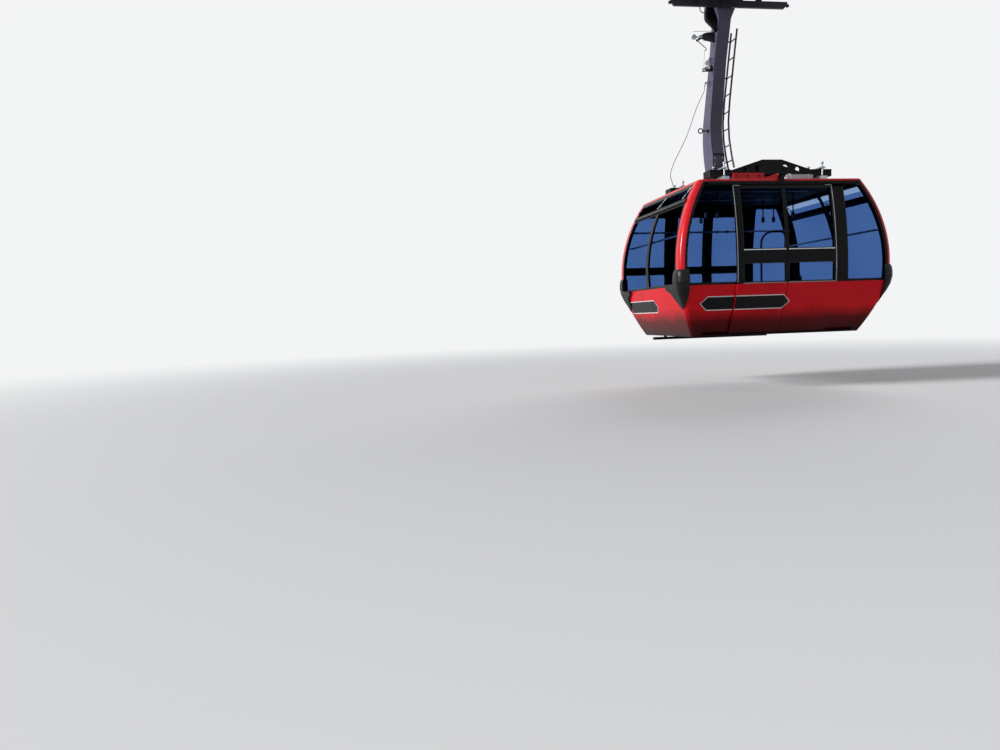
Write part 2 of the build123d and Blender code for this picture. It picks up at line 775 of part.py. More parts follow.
# Rescue bracket on the -X face of the arm, with two rope rollers and the clamp of the cable
bracket_h = rope_height - 600
roller_h = rope_height - 1100
clamp_share = 0.626
bracket_x = -arm_half - seat
pulley_r = 45.0
clamp_x = -240.0
clamp_y = 1200.0
with BuildPart() as rescue_bracket:
    block(bracket_x, -arm_half - 230, 940, 960, up(bracket_h) - 90, up(bracket_h) + 60)
    bar(-arm_half - 330, 950, up(bracket_h) - 20, 16, 260, "X")
    bar(-arm_half - 440, 950, up(bracket_h) - 20, pulley_r, 50, "Y")
    block(bracket_x, -arm_half - 60, 1080, 1110, up(roller_h), up(roller_h) + 120)
    bar(-arm_half - 90, 1095, up(roller_h) + 20, pulley_r, 60, "Y")
    block(bracket_x, -arm_half - 60, clamp_y - 20, clamp_y + 10, on_arm(clamp_share), on_arm(clamp_share) + 100)
    bar(clamp_x, clamp_y, on_arm(clamp_share) + 40, 14, 80, "Z")
    block(clamp_x, -arm_half - 50, clamp_y - 12, clamp_y + 2, on_arm(clamp_share) + 40, on_arm(clamp_share) + 80)
save(rescue_bracket.part, "rescue_bracket")

# Slack cable from the bracket to the end box of the far mount: runs joined by tangent arcs
cable_route = [
    (clamp_x, clamp_y, 1.0),
    (clamp_x, clamp_y, 0.962),
    (-306, 1180, 0.902),
    (-388, 1153, 0.838),
    (-462, 1128, 0.769),
    (-530, 1106, 0.698),
    (-594, 1085, 0.624),
    (-660, 1063, 0.551),
    (-732, 1038, 0.48),
    (-812, 1011, 0.412),
    (-896, 982, 0.347),
    (-980, 953, 0.283),
    (-1058, 926, 0.219),
    (-1120, 904, 0.153),
    (-1148, 895, 0.095),
    (-1118, 905, 0.052),
    (-1090, 914, 0.028),
    (-1090, 914, 0.0),
]  # x, y, share of the drop from the clamp to the gland
cable_r = 6.0
gland_z = up(end_box_high_h + 55)
cable_drop = on_arm(clamp_share) - gland_z
cable_points = [Vector(x, y, gland_z + share * cable_drop) for x, y, share in cable_route]
cable_radii = []
for before, point, after in zip(cable_points, cable_points[1:], cable_points[2:]):
    turn = (point - before).get_angle(after - point)
    shorter = min((point - before).length, (after - point).length)
    cable_radii.append(0.45 * shorter / tan(radians(turn / 2)))
print("cable radii", [round(r) for r in cable_radii])
with BuildPart() as slack_cable:
    with BuildLine() as cable_path:
        FilletPolyline(*cable_points, radius=cable_radii)
    with BuildSketch(Plane(cable_points[0], z_dir=cable_points[1] - cable_points[0])):
        Circle(cable_r)
    sweep()
cable_length = cable_path.wire().length
print("cable length", round(cable_length), "volume", slack_cable.part.volume / (pi * cable_r**2 * cable_length))
save(slack_cable.part, "slack_cable")

# Gland of the cable on top of the far end box
with BuildPart() as cable_gland:
    end = cable_points[-1]
    gland_low = up(end_box_high_h) + seat
    bar(end.X, end.Y, (end.Z + gland_low) / 2, 15, end.Z - gland_low, "Z")
save(cable_gland.part, "cable_gland")

# Carriage frame: side beams under the ropes, cross beam over them, inner beams and rocker pins
axle_z = track_rise + track_rope_r + wheel_groove_r
track_y = track_gauge / 2
pin_r = 34.0
pedestal_half = 60.0
pedestal_in_y = 497.0
pedestal_out_y = 535.0
inner_beam_half = 760.0
inner_beam_low = 190.0
inner_beam_high = 250.0
beam_end_cut = 70.0
beam_in_y = side_beam_y - side_beam_w / 2
beam_out_y = side_beam_y + side_beam_w / 2
with BuildPart() as carriage_frame:
    block(-cross_beam_half, cross_beam_half, -beam_out_y, beam_out_y, cross_beam_low, cross_beam_high)
    for s in (-1, 1):
        with BuildSketch(Plane.XZ.offset(-s * side_beam_y)) as side_beam:
            with BuildLine():
                Polyline(
                    (-side_beam_half, side_beam_high),
                    (side_beam_half, side_beam_high),
                    (side_beam_half, side_beam_low + beam_end_cut),
                    (side_beam_half - beam_end_cut, side_beam_low),
                    (-side_beam_half + beam_end_cut, side_beam_low),
                    (-side_beam_half, side_beam_low + beam_end_cut),
                    close=True,
                )
            make_face()
        extrude(side_beam.sketch, amount=side_beam_w / 2, both=True)
        block(-cross_beam_half, cross_beam_half, s * beam_in_y, s * beam_out_y, side_beam_high, cross_beam_high)
        block(
            -inner_beam_half,
            inner_beam_half,
            s * (inner_beam_y - inner_beam_w / 2),
            s * (inner_beam_y + inner_beam_w / 2),
            inner_beam_low,
            inner_beam_high,
        )
        for x in (-rocker_pitch / 2, rocker_pitch / 2):
            block(x - pedestal_half, x + pedestal_half, s * pedestal_in_y, s * pedestal_out_y, side_beam_high, axle_z)
            bar(x, s * (pedestal_in_y + pedestal_out_y) / 2, axle_z, pedestal_half, pedestal_out_y - pedestal_in_y, "Y")
            bar(x, s * (inner_beam_y + pedestal_out_y) / 2, axle_z, pin_r, pedestal_out_y - inner_beam_y, "Y")
save(carriage_frame.part, "carriage_frame")

# Rockers: two cheek plates with a hub on the pin and an axle for each wheel
rocker_r = 70.0
rocker_in = wheel_w / 2 + 12
rocker_out = rocker_in + rocker_t
hub_out_r = 43.0
axle_r = wheel_bore_r - pivot_gap
nut_out = rocker_out + 14
with BuildPart() as rockers:
    for sx in (-1, 1):
        for sy in (-1, 1):
            x = sx * rocker_pitch / 2
            y = sy * track_y
            for t in (-1, 1):
                with BuildSketch(Plane.XZ.offset(-(y + t * (rocker_in + rocker_t / 2)))) as cheek:
                    with Locations((x, axle_z)):
                        SlotCenterToCenter(wheel_pitch, 2 * rocker_r)
                extrude(cheek.sketch, amount=rocker_t / 2, both=True)
            bar(x, y, axle_z, hub_out_r, 2 * rocker_in, "Y")
            bar(x, y, axle_z, pin_r + seat, 4 * rocker_in, "Y", Mode.SUBTRACT)
            for wx in (x - wheel_pitch / 2, x + wheel_pitch / 2):
                bar(wx, y, axle_z, axle_r, 2 * nut_out, "Y")
                for t in (-1, 1):
                    bar(wx, y + t * (rocker_out + nut_out) / 2, axle_z, 40, nut_out - rocker_out, "Y")
save(rockers.part, "rockers")

# Track wheels: grooved rim, recessed web
groove_half = 34.0
groove_flat = 16.0
wheel_hub_r = 55.0
wheel_rim_in_r = 108.0
web_half = 28.0
wheels_x = [(sx * rocker_pitch + t * wheel_pitch) / 2 for sx in (-1, 1) for t in (-1, 1)]
for sy, side in ((-1, "near"), (1, "far")):
    for i, wx in enumerate(wheels_x):
        centre = (wx, sy * track_y, axle_z)
        with BuildPart() as wheel:
            with BuildSketch(Plane(centre, x_dir=(1, 0, 0), z_dir=(0, 0, 1))):
                with BuildLine():
                    Polyline(
                        (wheel_r, -groove_half),
                        (wheel_r, -wheel_w / 2),
                        (wheel_rim_in_r, -wheel_w / 2),
                        (wheel_rim_in_r - 6, -web_half),
                        (wheel_hub_r + 6, -web_half),
                        (wheel_hub_r, -wheel_w / 2),
                        (wheel_bore_r, -wheel_w / 2),
                        (wheel_bore_r, wheel_w / 2),
                        (wheel_hub_r, wheel_w / 2),
                        (wheel_hub_r + 6, web_half),
                        (wheel_rim_in_r - 6, web_half),
                        (wheel_rim_in_r, wheel_w / 2),
                        (wheel_r, wheel_w / 2),
                        (wheel_r, groove_half),
                        (wheel_groove_r, groove_flat),
                        (wheel_groove_r, -groove_flat),
                        close=True,
                    )
                make_face()
            revolve(axis=Axis(centre, (0, 1, 0)))
        save(wheel.part, f"wheel_{side}_{i + 1}")

# Hanger pin: flanged stub on the far end of the cross beam, with a retaining cap
pin_flange_r = 130.0
pin_flange_t = 25.0
cap_gap = 4.0
cap_t = 22.0
cap_r = 95.0
with BuildPart() as hanger_pin:
    pin_in = beam_out_y + seat
    pin_out = head_out_y + cap_gap + cap_t
    bar(0, (pin_in + pin_out) / 2, pivot_z, pivot_r, pin_out - pin_in, "Y")
    bar(0, pin_in + pin_flange_t / 2, pivot_z, pin_flange_r - 25, pin_flange_t, "Y")
    bar(0, pin_out - cap_t / 2, pivot_z, cap_r, cap_t, "Y")
save(hanger_pin.part, "hanger_pin")

# Grip: body under the cross beam with the fixed jaw, and the moving jaw
grip_half = 130.0
jaw_out_r = 58.0
grip_half_y = 85.0
grip_low = 52.0


def jaw(start, end, radius):
    """Sector of a sleeve round the haul rope, by its angles from +Y towards +Z."""
    mid = (start + end) / 2
    far = 4 * radius
    with BuildSketch(Plane.YZ) as ring:
        Circle(radius)
        Circle(haul_rope_r, mode=Mode.SUBTRACT)
        with BuildLine() as wedge:
            turns = [radians(a) for a in (start, (start + mid) / 2, mid, (mid + end) / 2, end)]
            corners = [(far * cos(a), far * sin(a)) for a in turns]
            Polyline((0, 0), *corners, close=True)
        make_face(mode=Mode.INTERSECT)
    extrude(ring.sketch, amount=grip_half, both=True)


with BuildPart() as grip_body:
    jaw(-50, 86, jaw_out_r)
    block(-grip_half, grip_half, 4, grip_half_y, grip_low, cross_beam_low - seat)
    block(-grip_half, grip_half, -grip_half_y, grip_half_y, 90, cross_beam_low - seat)
save(grip_body.part, "grip_body")

with BuildPart() as grip_jaw:
    jaw(94, 230, jaw_out_r)
    block(-90, 90, -grip_half_y - 25, -40, 0, 40)
    block(-90, 90, -grip_half_y - 25, -grip_half_y - seat, 0, 150)
save(grip_jaw.part, "grip_jaw")
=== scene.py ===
"""Looks of a red gondola cabin on its hanger arm and carriage: finishes, trim, fittings, floor and light."""

from math import cos, pi, radians, sin, sqrt

import bpy
from bpy.props import FloatProperty, FloatVectorProperty, PointerProperty
from mathutils import Matrix, Vector


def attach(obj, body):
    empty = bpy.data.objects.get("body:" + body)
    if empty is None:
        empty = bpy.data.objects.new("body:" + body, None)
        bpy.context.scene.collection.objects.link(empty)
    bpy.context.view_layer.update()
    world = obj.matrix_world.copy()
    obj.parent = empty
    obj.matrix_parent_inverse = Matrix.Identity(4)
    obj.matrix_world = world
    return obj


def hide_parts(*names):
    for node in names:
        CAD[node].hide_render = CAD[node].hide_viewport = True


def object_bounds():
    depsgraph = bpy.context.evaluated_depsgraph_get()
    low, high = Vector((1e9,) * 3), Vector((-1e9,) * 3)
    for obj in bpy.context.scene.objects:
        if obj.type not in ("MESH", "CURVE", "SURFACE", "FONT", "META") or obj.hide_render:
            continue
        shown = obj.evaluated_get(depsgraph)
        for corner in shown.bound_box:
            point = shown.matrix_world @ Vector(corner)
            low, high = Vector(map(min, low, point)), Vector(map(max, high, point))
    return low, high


bl_info = {
    "name": "Gondola cabin looks",
    "version": (1, 0, 0),
    "blender": (4, 5, 0),
    "location": "View3D > Sidebar > Gondola",
    "description": "Dresses the gondola cabin, hanger arm and carriage with finishes, trim and fittings",
    "category": "Object",
}

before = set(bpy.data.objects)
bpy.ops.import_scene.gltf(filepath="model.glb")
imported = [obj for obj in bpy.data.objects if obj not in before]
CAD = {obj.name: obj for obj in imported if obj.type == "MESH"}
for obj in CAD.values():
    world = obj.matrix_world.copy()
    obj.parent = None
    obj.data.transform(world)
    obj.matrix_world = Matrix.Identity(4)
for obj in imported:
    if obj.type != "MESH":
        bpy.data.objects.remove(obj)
cad_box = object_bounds()

# Millimetres in a metre, for the sizes of patterns
MM = 1000

# Heights are counted from the cabin's underside, 6.66 m below the haul rope
ROPE_HEIGHT = 6.66
FLOOR_TOP = 0.1103
SILL = 0.907
WAIST = 1.25
HANDRAIL = 2.15
CEILING = 2.692
RIM = 2.75
ROOF_TOP = 2.7505
FAIRING_TOP = 2.8555

# Half sizes of the barrel at waist, rim and underside, along and across the ropes
LONG = (2.010, 1.545, 1.625)
WIDE = (1.655, 1.455, 1.240)
TUB_BULGE = 0.035

# Door leaves: how far their face stands off the wall, and their limits along the ropes
LEAF_FACE = 0.048
DOOR_LEFT = (-0.975, -0.044)
DOOR_RIGHT = (-0.036, 0.895)

KEEP = Matrix.Identity(4)
MIRROR_X = Matrix.Scale(-1, 4, (1, 0, 0))
MIRROR_Y = Matrix.Scale(-1, 4, (0, 1, 0))
CORNERS = [KEEP, MIRROR_X, MIRROR_Y, MIRROR_X @ MIRROR_Y]
HALF_TURN = Matrix.Rotation(pi, 4, "Z")

# Turns that point a piece standing up along Z to the left, right, near or far side
TO_LEFT = Matrix.Rotation(-pi / 2, 4, "Y")
TO_RIGHT = Matrix.Rotation(pi / 2, 4, "Y")
TO_NEAR = Matrix.Rotation(pi / 2, 4, "X")
TO_FAR = Matrix.Rotation(-pi / 2, 4, "X")


def at(x, y, z):
    """Move to a place."""
    return Matrix.Translation((x, y, z))


def cornered(places):
    """Places in the far right quarter, repeated in all four."""
    return [turn @ place for turn in CORNERS for place in places]


def mirrored(places, mirror):
    """Places and their mirror images."""
    return places + [mirror @ place for place in places]


def up(height):
    """Height above the cabin's underside, as a Z of the frame."""
    return height - ROPE_HEIGHT


def raised(points):
    """Points that end in a height above the cabin's underside, with a Z of the frame in its place."""
    return [(*point[:-1], up(point[-1])) for point in points]


def wall_at(half, height):
    """Half size of the barrel at a height: an arc above the sill, a shallow bulge below."""
    waist, rim, bottom = half

    def arc(h):
        drop = waist - rim
        radius = ((RIM - WAIST) ** 2 + drop**2) / (2 * drop)
        return waist - radius + sqrt(radius**2 - (h - WAIST) ** 2)

    if height >= SILL:
        return arc(height)
    share = height / SILL
    return bottom + (arc(SILL) - bottom) * share + TUB_BULGE * 4 * share * (1 - share)


def heights(low, high, steps):
    """Evenly spaced heights between two."""
    return [low + (high - low) * i / steps for i in range(steps + 1)]


def linear(code):
    """sRGB hex colour as linear RGBA."""
    parts = [int(code[i : i + 2], 16) / 255 for i in (0, 2, 4)]
    return tuple(p / 12.92 if p <= 0.04045 else ((p + 0.055) / 1.055) ** 2.4 for p in parts) + (1.0,)


def add_node(tree, kind, inputs=None, links=None, stops=None, **settings):
    """Adds a shader node, sets its options, input values and colour stops, and links (node, output) pairs to it."""
    node = tree.nodes.new("ShaderNode" + kind)
    for key, value in settings.items():
        setattr(node, key, value)
    for key, value in (inputs or {}).items():
        node.inputs[key].default_value = value
    for key, (source, output) in (links or {}).items():
        tree.links.new(source.outputs[output], node.inputs[key])
    if stops:
        elements = node.color_ramp.elements
        while len(elements) < len(stops):
            elements.new(0.5)
        for element, (position, colour) in zip(elements, stops):
            element.position = position
            element.color = linear(colour) if isinstance(colour, str) else (colour, colour, colour, 1.0)
    return node


def link(source, output, target, socket):
    """Links a node's output to another node's input."""
    source.id_data.links.new(source.outputs[output], target.inputs[socket])


def finish_of(name, low, high, patch_mm, rough, grain_mm, grain_depth, sockets):
    """Material whose tone and roughness drift in patches over a fine grain, all at real sizes: (material, nodes)."""
    material = bpy.data.materials.new(name)
    material.use_nodes = True
    tree = material.node_tree
    shader = tree.nodes["Principled BSDF"]
    coords = add_node(tree, "TexCoord")
    where = {"Vector": (coords, "Object")}
    patches = add_node(tree, "TexNoise", {"Scale": MM / patch_mm, "Detail": 4.0, "Roughness": 0.55}, where)
    drift = {"Fac": (patches, "Fac")}
    tone = add_node(tree, "ValToRGB", links=drift, stops=[(0.32, low), (0.7, high)])
    gloss = add_node(tree, "ValToRGB", links=drift, stops=[(0.3, rough[0]), (0.72, rough[1])])
    grain = add_node(tree, "TexNoise", {"Scale": MM / grain_mm, "Detail": 2.0}, where)
    relief = {"Strength": grain_depth, "Distance": grain_mm / 4 / MM}
    bump = add_node(tree, "Bump", relief, {"Height": (grain, "Fac")})
    link(tone, "Color", shader, "Base Color")
    link(gloss, "Color", shader, "Roughness")
    link(bump, "Normal", shader, "Normal")
    for key, value in sockets.items():
        shader.inputs[key].default_value = value
    return material, {"tree": tree, "shader": shader, "coords": coords, "patches": patches, "tone": tone}


# Height up to which painted shade darkens the lower panels towards the underside, and how much its edge wanders with
# the paint's patches
PAINTED_SHADE_TOP = 0.8
PAINTED_SHADE_WANDER = 0.22


def add_painted_shade(nodes):
    """Painted shade that darkens the lower panels towards the underside, where they curve in and face down."""
    tree = nodes["tree"]
    axes = add_node(tree, "SeparateXYZ", links={"Vector": (nodes["coords"], "Object")})
    height = add_node(tree, "MapRange", {"From Min": up(0.0), "From Max": up(PAINTED_SHADE_TOP)}, {"Value": (axes, "Z")})
    # The edge of the painted shade wanders with the paint's patches
    film = add_node(tree, "Math", {1: PAINTED_SHADE_WANDER}, {0: (nodes["patches"], "Fac")}, operation="MULTIPLY")
    level = add_node(tree, "Math", links={0: (height, "Result"), 1: (film, "Value")}, operation="ADD")
    # Dark stops of painted shade at the underside, fading to white (no change) at the top of the band
    shade_ramp = add_node(tree, "ValToRGB", links={"Fac": (level, "Value")},
                    stops=[(0.12, "2C1E20"), (0.45, "75585C"), (0.74, "FFFFFF")])
    mixed = add_node(tree, "Mix", {"Factor": 1.0}, data_type="RGBA", blend_type="MULTIPLY")
    link(nodes["tone"], "Color", mixed, "A")
    link(shade_ramp, "Color", mixed, "B")
    link(mixed, "Result", nodes["shader"], "Base Color")


def let_light_in(nodes):
    """Shadow rays pass half through the panes, so that daylight reaches the seats."""
    tree = nodes["tree"]
    rays = add_node(tree, "LightPath")
    solid = add_node(tree, "Math", {1: -0.5, 2: 1.0}, {0: (rays, "Is Shadow Ray")}, operation="MULTIPLY_ADD")
    link(solid, "Value", nodes["shader"], "Alpha")


def add_spangles(nodes):
    """Zinc spangles 12 mm across, each with its own tone."""
    tree = nodes["tree"]
    spangle = add_node(tree, "TexVoronoi", {"Scale": MM / 12}, {"Vector": (nodes["coords"], "Object")})
    facet = add_node(tree, "SeparateColor", links={"Color": (spangle, "Color")})
    link(facet, "Red", nodes["tone"], "Fac")


def add_ribs(nodes):
    """Ribs 25 mm apart that run along the deck; a wave of scale 1 repeats every 2 pi / 20 m."""
    tree = nodes["tree"]
    ribs = add_node(tree, "TexWave", {"Scale": 2 * pi / 20 * MM / 25.47}, {"Vector": (nodes["coords"], "Object")},
                    bands_direction="Y")
    relief = add_node(tree, "Bump", {"Strength": 0.5, "Distance": 0.003}, {"Height": (ribs, "Fac")})
    link(relief, "Normal", nodes["shader"], "Normal")


SPECULAR = "Specular IOR Level"

# Finish: the record's slot that it stands for, its material, two tones, size of their patches in mm, two roughnesses,
# size of the grain in mm, depth of the grain and other values of the shader
FINISHES = {
    # Two-pack polyurethane enamel sprayed on aluminium: deep gloss with faint orange peel 7 mm apart
    "red": ("red_paint", "red_enamel", "C00D1A", "CE1320", 750, (0.24, 0.34), 7, 0.06,
            {"Coat Weight": 0.12, "Coat Roughness": 0.05, SPECULAR: 0.18}),
    # The same enamel on the lower panels, darkened towards the underside by painted shade where they curve in and face
    # down
    "tub": ("red_paint", "weathered_enamel", "C00C18", "D0121F", 600, (0.24, 0.36), 7, 0.06,
            {"Coat Weight": 0.05, "Coat Roughness": 0.06, SPECULAR: 0.08}),
    # Black powder coat baked on aluminium frames: satin with a pebbled skin 3 mm apart
    "black": ("black_frame", "black_powder_coat", "050508", "09090D", 160, (0.26, 0.38), 3, 0.1, {SPECULAR: 0.1}),
    # Hard-coated tinted polycarbonate: blue and see-through, with an IOR at which the bare studio doesn't mirror in it
    "glass": ("tinted_glass", "tinted_glazing", "7F9CC6", "88A3CB", 900, (0.0, 0.0), 60, 0.0,
              {"Transmission Weight": 1.0, "IOR": 1.0, "Specular Tint": linear("5A74B4")}),
    # Moulded black rubber: matt grain 2.5 mm apart, greyed where it is rubbed
    "rubber": ("bumper_rubber", "moulded_rubber", "08080A", "101013", 90, (0.3, 0.48), 2.5, 0.2, {SPECULAR: 0.2}),
    # Epoxy paint on the welded box of the arm: satin lilac grey with faint runs
    "arm": ("arm_paint", "arm_paint", "464458", "525064", 250, (0.34, 0.46), 6, 0.1, {SPECULAR: 0.2}),
    # Epoxy paint on the carriage's beams: satin dark grey, dirty from rope grease
    "carriage": ("carriage_paint", "carriage_paint", "17191E", "282B33", 180, (0.36, 0.52), 5, 0.12, {SPECULAR: 0.2}),
    # Black epoxy on the roof frame's plates: satin with a mill-scale grain
    "frame": ("frame_paint", "roof_frame_paint", "07070A", "0E0E13", 200, (0.34, 0.5), 5, 0.12, {SPECULAR: 0.12}),
    # Dark paint over galvanised tube, worn paler in patches by boots and gloves
    "ladder": ("ladder_steel", "ladder_paint", "14161C", "30343E", 110, (0.35, 0.55), 4, 0.12, {SPECULAR: 0.35}),
    # Hot-dip galvanised steel: pale zinc with spangles
    "zinc": ("galvanised_steel", "galvanised_steel", "8F9398", "B9BDC2", 60, (0.34, 0.52), 3, 0.05, {"Metallic": 1.0}),
    # Turned and oiled steel: bright metal with tool marks
    "steel": ("machined_steel", "machined_steel", "8C8F94", "B6B9BE", 16, (0.22, 0.4), 2, 0.05, {"Metallic": 1.0}),
    # Sand-cast iron under thin dark primer: rough grain and soft sheen
    "iron": ("grip_iron", "cast_iron", "1D1F22", "34373B", 40, (0.42, 0.62), 5, 0.4, {"Metallic": 0.5}),
    # Cast wheel steel, dark with grease in the recesses and polished in patches by the rope
    "wheel": ("wheel_iron", "wheel_steel", "26282C", "565A60", 70, (0.28, 0.5), 4, 0.2, {"Metallic": 0.8}),
    # Extruded aluminium deck: dull ribbed metal
    "deck": ("floor_plate", "ribbed_deck", "4F5154", "6B6E72", 120, (0.4, 0.55), 4, 0.1, {"Metallic": 0.7}),
    # Injection-moulded ABS: dark grey with a leathery grain 4 mm apart
    "seat": ("bench_plastic", "seat_plastic", "33353B", "42444B", 140, (0.45, 0.6), 4, 0.2, {SPECULAR: 0.4}),
    # Brushed stainless tube: bright metal with a soft sheen
    "tube": ("stainless_tube", "brushed_stainless", "A2A6AB", "C4C7CB", 12, (0.2, 0.34), 1.5, 0.05, {"Metallic": 1.0}),
    # Natural anodised aluminium edging: pale satin metal
    "alloy": ("stainless_tube", "anodised_aluminium", "8E9094", "A2A4A8", 50, (0.34, 0.46), 2, 0.04, {"Metallic": 0.3}),
    # Black laminate inside the cabin: matt, with a fine hammered grain
    "lining": ("black_frame", "wall_lining", "020203", "050507", 200, (0.5, 0.65), 4, 0.15, {SPECULAR: 0.1}),
    # Blank black vinyl film: smooth satin with slight waves from the panel under it
    "film": ("black_frame", "sign_film", "08080B", "0D0D12", 220, (0.25, 0.35), 30, 0.05, {SPECULAR: 0.15}),
    # White vinyl border of the blank signs, greyed a little by weather
    "border": ("stainless_tube", "sign_border", "C9C6C8", "D8D6D7", 90, (0.3, 0.42), 30, 0.05, {}),
    # Polycarbonate lamp cover, unlit, coloured dark grey as painted shade of the dim ceiling: grey satin
    "lamp": ("bench_plastic", "lamp_cover", "1C1D21", "26272C", 140, (0.3, 0.4), 6, 0.05, {}),
    # Anti-slip pad: coarse grit 3 mm apart in black epoxy
    "grit": ("black_steel", "grit_pad", "141416", "2A2A2D", 20, (0.7, 0.9), 3, 0.8, {SPECULAR: 0.2}),
    # Woven polyester strap: black and matt, its weave drawn 5 mm apart, as coarse as it needs to show
    "webbing": ("bench_plastic", "strap_webbing", "0B0B0D", "17171A", 10, (0.7, 0.85), 5, 0.5, {SPECULAR: 0.15}),
}
EXTRAS = {"tub": add_painted_shade, "glass": let_light_in, "zinc": add_spangles, "deck": add_ribs}
MATERIALS = {}

# Finish of each CAD node that keeps its own shape
NODE_FINISH = {
    "red": ["cabin_roof", "roof_fairing", "corner_pillars"],
    "tub": ["near_lower_panels", "far_lower_panel", "end_lower_panels", "door_panel_left", "door_panel_right"],
    "black": ["near_window_frame", "far_window_frame", "end_window_frames", "door_frame_left",
              "door_frame_right", "door_track", "door_step", "guide_rail"],
    "glass": ["near_glass", "far_glass", "end_glass", "door_glass_left", "door_glass_right", "vent_flaps"],
    "rubber": ["bumpers"],
    "arm": ["hanger_arm", "hanger_head"],
    "carriage": ["carriage_frame", "rockers"],
    "frame": ["suspension_frame"],
    "ladder": ["ladder", "hoop_rail"],
    "zinc": ["cabin_mounts", "rescue_bracket", "cable_gland"],
    "steel": ["hanger_pin"],
    "iron": ["grip_body", "grip_jaw"],
    "wheel": [f"wheel_{side}_{i}" for side in ("near", "far") for i in range(1, 5)],
    "deck": ["cabin_floor"],
    "seat": ["benches"],
    "tube": ["handrails"],
}


def give(obj, *keys):
    """Puts finishes on an object's slots, in place of what they hold."""
    held = obj.data.materials
    for i, key in enumerate(keys):
        if i < len(held):
            held[i] = MATERIALS[key]
        else:
            held.append(MATERIALS[key])


def add_object(name, data):
    """New object in the scene."""
    obj = bpy.data.objects.new(name, data)
    bpy.context.scene.collection.objects.link(obj)
    return obj


def clear():
    """Deselects everything."""
    bpy.ops.object.select_all(action="DESELECT")


def pick(*objects):
    """Selects only these objects and makes the first one active."""
    clear()
    for obj in objects:
        obj.select_set(True)
    bpy.context.view_layer.objects.active = objects[0]


def freeze():
    """Puts the place, turn and scale of the active object into its mesh."""
    bpy.ops.object.transform_apply(location=True, rotation=True, scale=True)
    return bpy.context.object


def open_mesh(obj, action="SELECT"):
    """Enters edit mode in face mode with everything or nothing selected."""
    pick(obj)
    bpy.ops.object.mode_set(mode="EDIT")
    bpy.ops.mesh.select_mode(type="FACE")
    bpy.ops.mesh.select_all(action=action)


def close_mesh(outside=True):
    """Turns all faces outwards, unless told not to, and leaves edit mode."""
    if outside:
        bpy.ops.mesh.select_all(action="SELECT")
        bpy.ops.mesh.normals_make_consistent(inside=False)
    bpy.ops.object.mode_set(mode="OBJECT")
    return bpy.context.object


def pull(step):
    """Extrudes what is selected by a step."""
    bpy.ops.mesh.extrude_region_move(TRANSFORM_OT_translate={"value": step})


def cut(place, outward):
    """Cuts the open mesh at a plane and clears what lies beyond it."""
    bpy.ops.mesh.select_all(action="SELECT")
    bpy.ops.mesh.bisect(plane_co=place, plane_no=outward, clear_outer=True)


def apply_modifier(obj, kind, **settings):
    """Adds a modifier, sets it and applies it."""
    pick(obj)
    modifier = obj.modifiers.new(kind.lower(), kind)
    for key, value in settings.items():
        setattr(modifier, key, value)
    bpy.ops.object.modifier_apply(modifier=modifier.name)
    return obj


# Edges sharper than this are rounded or stay sharp, and all others are smoothed
SHARP = radians(35)


def ease(obj, width=0.0):
    """Rounds the sharp edges of a piece by a width, if one is given, and smooths what is left."""
    if width:
        apply_modifier(obj, "BEVEL", width=width, segments=2, limit_method="ANGLE", angle_limit=SHARP)
    pick(obj)
    bpy.ops.object.shade_smooth_by_angle(angle=SHARP)
    return obj


def thickened(obj, thickness):
    """Gives a sheet a thickness on its outer side."""
    return ease(apply_modifier(obj, "SOLIDIFY", thickness=thickness, offset=1.0))


def swept(points, width, depth, axis="Z", soft=0.002):
    """Bar whose rectangular section lies across X or Z and is pulled from point to point."""
    clear()
    turn = (0, pi / 2, 0) if axis == "X" else (0, 0, 0)
    bpy.ops.mesh.primitive_plane_add(size=1, location=points[0], rotation=turn)
    bpy.context.object.scale = (width, depth, 1)
    open_mesh(freeze())
    for here, there in zip(points, points[1:]):
        pull(Vector(there) - Vector(here))
    return ease(close_mesh(), soft)


def block(low, high, soft=0.004):
    """Block between two corners with eased edges."""
    x, y = (low[0] + high[0]) / 2, (low[1] + high[1]) / 2
    return swept([(x, y, low[2]), (x, y, high[2])], high[0] - low[0], high[1] - low[1], soft=soft)


def turned(place, steps, axis=(0, 0, 1), sides=16):
    """Round or six-sided piece pulled along an axis through (radius, distance) steps."""
    axis, place = Vector(axis), Vector(place)
    radius, distance = steps[0]
    clear()
    bpy.ops.mesh.primitive_circle_add(vertices=sides, radius=radius, fill_type="NGON", location=place + axis * distance,
                                      rotation=axis.to_track_quat("Z", "Y").to_euler())
    open_mesh(freeze())
    for next_radius, next_distance in steps[1:]:
        pull(axis * (next_distance - distance))
        ratio = next_radius / radius
        bpy.ops.transform.resize(value=(ratio, ratio, ratio), center_override=place + axis * next_distance)
        radius, distance = next_radius, next_distance
    return ease(close_mesh())


def ring_bar(radius, place, turn):
    """Ring bent from 24 mm bar."""
    clear()
    bpy.ops.mesh.primitive_torus_add(major_radius=radius, minor_radius=0.012, major_segments=28, minor_segments=10,
                                     location=place, rotation=turn)
    return bpy.context.object


def slab(outline, low, high, axis="Y", soft=0.003):
    """Plate of a given outline between two planes across an axis."""
    clear()
    bpy.ops.mesh.primitive_circle_add(vertices=len(outline), radius=1, fill_type="NGON")
    obj = bpy.context.object
    for vertex, (a, b) in zip(obj.data.vertices, outline):
        vertex.co = {"X": (low, a, b), "Y": (a, low, b), "Z": (a, b, low)}[axis]
    open_mesh(obj)
    pull({"X": (high - low, 0, 0), "Y": (0, high - low, 0), "Z": (0, 0, high - low)}[axis])
    return ease(close_mesh(), soft)


